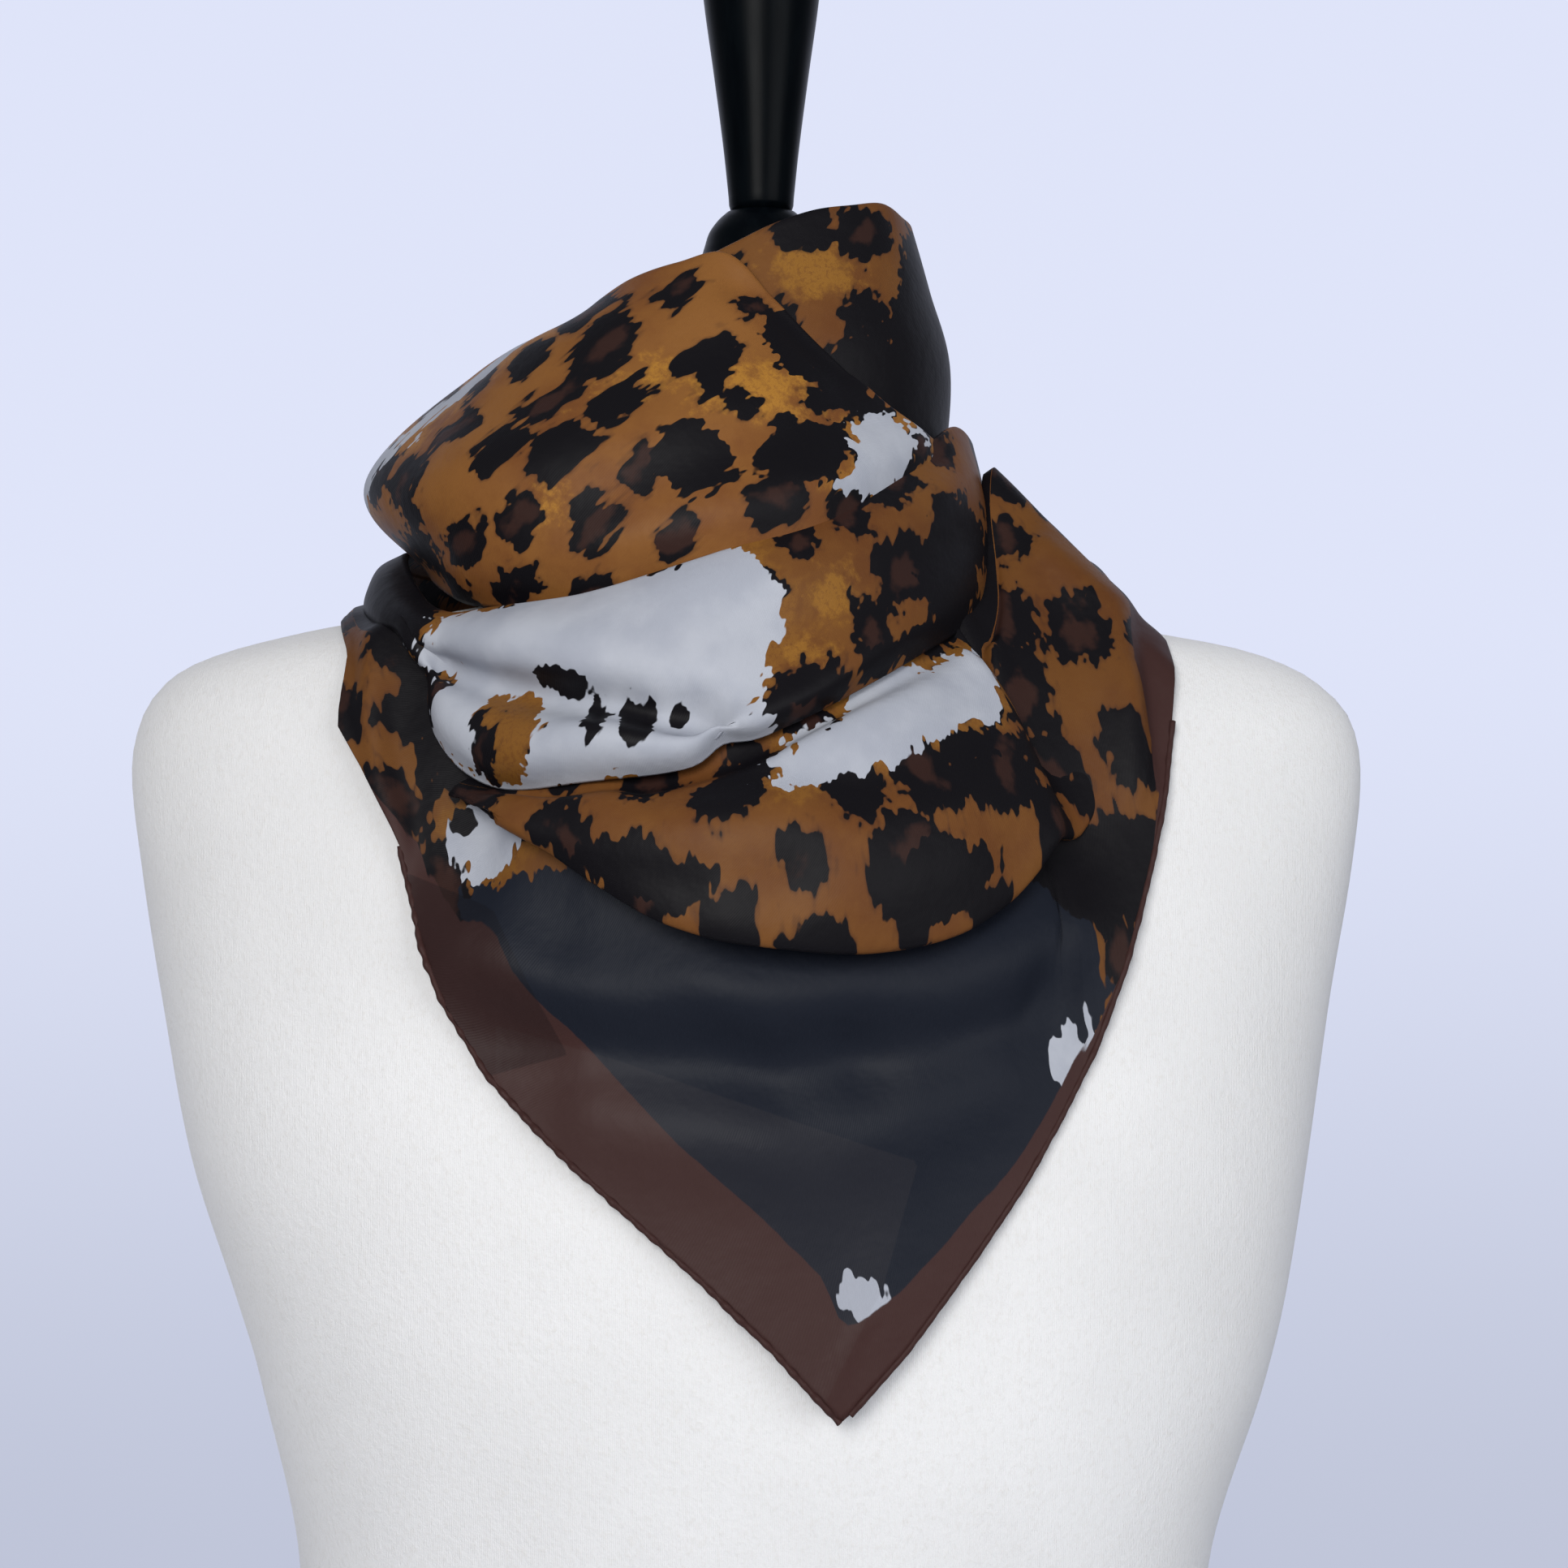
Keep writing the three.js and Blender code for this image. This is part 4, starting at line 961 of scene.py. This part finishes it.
# The print by stretch: how far its colours are shifted, how its brush strokes lean, how far
# apart and how large its spots are in millimetres, and how far its rust is darkened, partly
# by deeper dye and partly as painted shade.
PRINTS = {
    "inner_collar": (0.0, -0.7, 19, 8.0, 0.38),
    "upper_wrap": (0.0, -0.87, 20, 7.8, 0.0),
    "middle_wrap": (0.41, -0.5, 21, 9.4, 0.36),
    "front_cowl": (0.83, 0.0, 23, 10.0, 0.36),
    "outer_drape": (0.83, 0.15, 23, 11.2, 0.5),
}


def place(piece, node, material):
    piece.data.materials.append(MATERIALS[material])
    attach(piece, "root")
    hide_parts(node)
    return piece


def thicken(piece, amount):
    wall = piece.modifiers.new("wall", "SOLIDIFY")
    wall.thickness = amount * MM
    wall.offset = 0
    return piece


# Distance in from the hem line at each point, less the border's width there.
def border_field(grid, at):
    hem = grid[:, -1]
    widths = np.interp(at, [row[0] for row in BORDER_WIDTHS], [row[1] for row in BORDER_WIDTHS])
    field = np.full(grid.shape[:2], FAR_OUTSIDE)
    shown = np.flatnonzero((at > BORDER_ANGLES[0]) & (at < BORDER_ANGLES[1]))
    for i in shown:
        near = hem[max(i - HEM_REACH, 0):i + HEM_REACH + 1]
        away = np.linalg.norm(grid[i][:, None] - near[None], axis=2).min(1)
        field[i] = widths[i] - away
    return field


def everywhere(grid, value):
    return np.full(grid.shape[:2], value)


# A grid's point values, with those of its rim repeated on the lines of its turned lip.
def with_rim_values(field):
    return np.concatenate([np.repeat(field[:, :1], LIP_LINES, 1), field], 1)


# One stretch of the scarf: its rows, whether it closes behind the neck, its lines across, its
# slot, the radius and depth of its turned rim, its ripples and its seed.
def stretch(name, rows, closed, across, lip, ripple, seed):
    plain, at = stretch_grid(rows, closed, across, STRAIGHT_LINES.get(name, []))
    grid = folded(name, plain, closed)
    grid = grid + grid_normals(grid, closed) * ripples(grid, RIPPLE_LENGTH, ripple, seed)[..., None]
    tones = {tone: zone_field(name, grid, tone) for tone in TONES}
    turn, lean, spacing, reach, deep_dye_and_shade = PRINTS[name]
    tones["spot"], tones["core"] = spot_fields(plain, closed, lean, spacing, reach, seed)
    tones["border"] = border_field(grid, at) if name == "outer_drape" else everywhere(grid, FAR_OUTSIDE)
    if name in TUCKS:
        hidden = np.full((len(at), TUCK_LINES), FAR_OUTSIDE)
        tones = {tone: np.concatenate([hidden, field], 1) for tone, field in tones.items()}
        # The tucked lines are black all over: painted shade in the gaps where they show.
        tones["ink_and_shade"][:, :TUCK_LINES] = FAR_INSIDE
        grid = with_tuck(grid, at, TUCKS[name])
    else:
        tones = {tone: with_rim_values(field) for tone, field in tones.items()}
        grid = with_lip(grid, closed, *lip)
    for tone, value in (("turn", turn), ("lean", lean), ("deep_dye_and_shade", deep_dye_and_shade)):
        tones[tone] = everywhere(grid, value)
    piece = thicken(grid_object(name + "_cloth", grid, closed, tones), CLOTH_LAYERS)
    place(piece, name, "silk")
    u, v = arc_lengths(grid, closed)
    return grid, at


# A closed solid over rings of points with flat ends, its faces wound one way or, with -1, the
# other, so that they look outward.
def ring_object(name, rings, winding):
    n, m = rings.shape[:2]
    i, j = np.meshgrid(np.arange(n - 1), np.arange(m), indexing="ij")
    beside = (j + 1) % m
    sides = [(i + 1) * m + j, (i + 1) * m + beside, i * m + beside][::winding]
    faces = np.stack([i * m + j, *sides], 2).reshape(-1, 4).tolist()
    faces.append(list(range(m))[::winding])
    faces.append(list(range((n - 1) * m, n * m))[::-winding])
    return mesh_object(name, rings, faces)


# A tube of the given radii along a line of points.
def tube_object(name, centres, outward, normal, radii):
    rings = []
    for turn in np.linspace(0, 2 * math.pi, HEM_SIDES, endpoint=False):
        offset = outward * math.cos(turn) - normal * math.sin(turn)
        rings.append(centres + offset * radii[:, None])
    grid = np.stack(rings, 1)
    n, m = grid.shape[:2]
    piece = ring_object(name, grid, 1)
    length = line_lengths(centres)
    layer = piece.data.uv_layers.new(name="cloth")
    uv = []
    for face in piece.data.polygons:
        for vertex in face.vertices:
            uv += [length[vertex // m] * MM, (vertex % m) * MM]
    layer.data.foreach_set("uv", uv)
    values = {tone: FAR_OUTSIDE for tone in (*TONES, "spot", "core")}
    values["border"] = FAR_INSIDE
    for tone, value in values.items():
        put_values(piece.data, tone, np.full(n * m, value))
    return piece


# The hand rolled hem along the drape's lower edge, puckered where the thread pulls.
def rolled_hem(node, grid, at, first, last, pucker, seed):
    normals = grid_normals(grid, True)
    picked = np.flatnonzero((at >= first) & (at <= last))
    stations = np.linspace(picked[0], picked[-1], len(picked) * HEM_STEPS)
    edge = smooth_curve(picked, grid[picked, -1], stations)
    normal = unit(smooth_curve(picked, normals[picked, -1], stations))
    along = unit(np.gradient(edge, axis=0))
    outward = unit(np.cross(along, normal))
    length = line_lengths(edge)
    random = np.random.default_rng(seed)
    drift = random.uniform(0, 6) + PUCKER_SHIFT * np.sin(length / PUCKER_DRIFT)
    beat = np.sin(2 * math.pi * length / PUCKER_LENGTH + drift)
    swell = ripples(edge, HEM_RIPPLE_LENGTH, 1.0, seed)
    radii = HEM_RADIUS * (HEM_SLIM + pucker * (SWELL_SHARES[0] * beat + SWELL_SHARES[1] * swell))
    wander = pucker * (WANDER_SHARES[0] * beat + WANDER_SHARES[1] * swell)
    centres = edge + outward * (HEM_RADIUS + HEM_GAP) + normal * wander[:, None]
    piece = tube_object(node + "_roll", centres, outward, normal, radii)
    return place(piece, node, "silk")


def build_scarf():
    stretch("inner_collar", INNER_COLLAR, True, 48, (0.8, 8), 0.35, 3)
    stretch("upper_wrap", UPPER_WRAP, True, 72, (1.0, 8), 0.5, 5)
    stretch("middle_wrap", MIDDLE_WRAP, True, 72, (1.0, 6), 0.3, 7)
    stretch("front_cowl", FRONT_COWL, False, 72, None, 0.35, 9)
    grid, at = stretch("outer_drape", OUTER_DRAPE, True, 96, None, 0.2, 11)
    rolled_hem("left_hem", grid, at, -54, CORNER_ANGLE, 1.0, 21)
    rolled_hem("right_hem", grid, at, CORNER_ANGLE, 66, 0.35, 22)


# The form's skin: sections of a squared ellipse.
def build_torso():
    rows = np.array(TORSO_SECTIONS, float)
    heights = [rows[0, 0]]
    for low, high in zip(rows[:-1, 0], rows[1:, 0]):
        parts = max(2, int(round((high - low) / 6)))
        heights += list(low + (high - low) * np.arange(1, parts + 1) / parts)
    sections = smooth_curve(rows[:, 0], rows[:, 1:], np.array(heights))
    rings = []
    turn = np.linspace(0, 2 * math.pi, FORM_FACETS, endpoint=False)
    s, c = np.sin(turn), np.cos(turn)
    for z, (left, right, front, back, power) in zip(heights, sections):
        x = np.sign(s) * np.abs(s) ** (2 / power) * np.where(s > 0, right, left)
        y = -np.sign(c) * np.abs(c) ** (2 / power) * np.where(c > 0, front, back)
        rings.append(np.stack([x, y, np.full(len(turn), z)], 1))
    return ring_object("torso_cover", np.array(rings), -1)


# A turned solid from a profile of radii and heights, its first and last points on the axis.
def turned(name, profile):
    rings = []
    turn = np.linspace(0, 2 * math.pi, TURNED_FACETS, endpoint=False)
    for radius, height in profile[1:-1]:
        around = [radius * np.sin(turn), -radius * np.cos(turn), np.full(len(turn), height)]
        rings.append(np.stack(around, 1))
    return ring_object(name, np.array(rings), -1)


# A profile with its corners rounded, apart from its ends.
def rounded(profile, parts=6):
    inner = np.array(profile[1:-1], float)
    stations = running_total(np.hypot(*np.diff(inner, axis=0).T))
    at = np.linspace(0, stations[-1], parts * (len(inner) - 1) + 1)
    curve = smooth_curve(stations, inner, at)
    return [profile[0], *curve.tolist(), profile[-1]]


def build_form():
    place(build_torso(), "torso", "jersey")
    place(turned("neck_cap_turning", rounded(CAP_PROFILE)), "neck_cap", "lacquer")
    place(turned("finial_turning", rounded(FINIAL_PROFILE)), "finial", "lacquer")


def build_floor():
    bpy.ops.mesh.primitive_circle_add(vertices=FLOOR_SIDES, radius=FLOOR_RADIUS, fill_type="NGON")
    floor = bpy.context.object
    floor.name = "floor"
    n = Nodes("pale_floor")
    where = n.add("TexCoord").outputs["Object"]
    base = n.mix(n.noise(where, 4, 3), FLOOR_LOW, FLOOR_HIGH)
    floor.data.materials.append(n.finish(Base_Color=base, Roughness=0.8))
    return floor


# An upright wall that gives its own light, a painted glow, paler towards the top and in soft patches.
def build_wall():
    half = WALL_WIDTH / 2
    mesh = bpy.data.meshes.new("wall")
    foot = [(-half, WALL_AT, WALL_FOOT), (half, WALL_AT, WALL_FOOT)]
    top = [(half, WALL_AT, WALL_TOP), (-half, WALL_AT, WALL_TOP)]
    mesh.from_pydata(foot + top, [], [(0, 1, 2, 3)])
    wall = bpy.data.objects.new("wall", mesh)
    bpy.context.scene.collection.objects.link(wall)
    n = Nodes("glowing_wall")
    where = n.add("TexCoord").outputs["Object"]
    height = n.add("SeparateXYZ", None, _0=where).outputs["Z"]
    tint = n.mix(n.step(height, *WALL_FADE), WALL_LOW, WALL_HIGH)
    tint = n.mix(n.times(n.noise(where, 0.9, 2), 0.12), tint, WALL_GLOW_PATCH)
    mesh.materials.append(n.finish(
        Base_Color=colour(0, 0, 0), Roughness=1.0, Emission_Color=tint, Emission_Strength=1.0,
        Specular_IOR_Level=0.0,
    ))
    return wall


def area_light(name, power, size, at, aim, tint):
    lamp = bpy.data.lights.new(name, "AREA")
    lamp.energy = power
    lamp.size = size
    lamp.color = tint
    holder = bpy.data.objects.new(name, lamp)
    holder.location = at
    direction = np.array(aim) - np.array(at)
    holder.rotation_euler = Vector(direction).to_track_quat("-Z", "Y").to_euler()
    bpy.context.scene.collection.objects.link(holder)


# The room's own dim light, brighter above than below.
def build_room():
    world = bpy.data.worlds.new("pale_room")
    bpy.context.scene.world = world
    world.use_nodes = True
    tree = world.node_tree
    where = tree.nodes.new("ShaderNodeTexCoord")
    split = tree.nodes.new("ShaderNodeSeparateXYZ")
    ramp = tree.nodes.new("ShaderNodeMapRange")
    mix = tree.nodes.new("ShaderNodeMix")
    mix.data_type = "RGBA"
    tree.links.new(where.outputs["Generated"], split.inputs[0])
    tree.links.new(split.outputs["Z"], ramp.inputs["Value"])
    ramp.inputs["From Min"].default_value = ROOM_FADE[0]
    ramp.inputs["From Max"].default_value = ROOM_FADE[1]
    tree.links.new(ramp.outputs["Result"], mix.inputs[0])
    mix.inputs[6].default_value = ROOM_LOW
    mix.inputs[7].default_value = ROOM_HIGH
    tree.links.new(mix.outputs[2], tree.nodes["Background"].inputs["Color"])
    tree.nodes["Background"].inputs["Strength"].default_value = 1.0


def build_camera():
    camera = bpy.data.cameras.new("camera")
    camera.sensor_width = SENSOR_WIDTH
    camera.lens = SENSOR_WIDTH * FOCAL_PIXELS / FRAME_PIXELS
    camera.clip_start = 0.01
    holder = bpy.data.objects.new("camera", camera)
    holder.location = [value * MM for value in CAMERA_AT]
    holder.rotation_euler = (math.pi / 2, 0, 0)
    bpy.context.scene.collection.objects.link(holder)
    bpy.context.scene.camera = holder
    bpy.context.scene.view_settings.view_transform = "Standard"


build_camera()
build_form()
build_scarf()
build_floor()
build_wall()
build_room()
for name, lamp in LAMPS.items():
    area_light(name, *lamp)
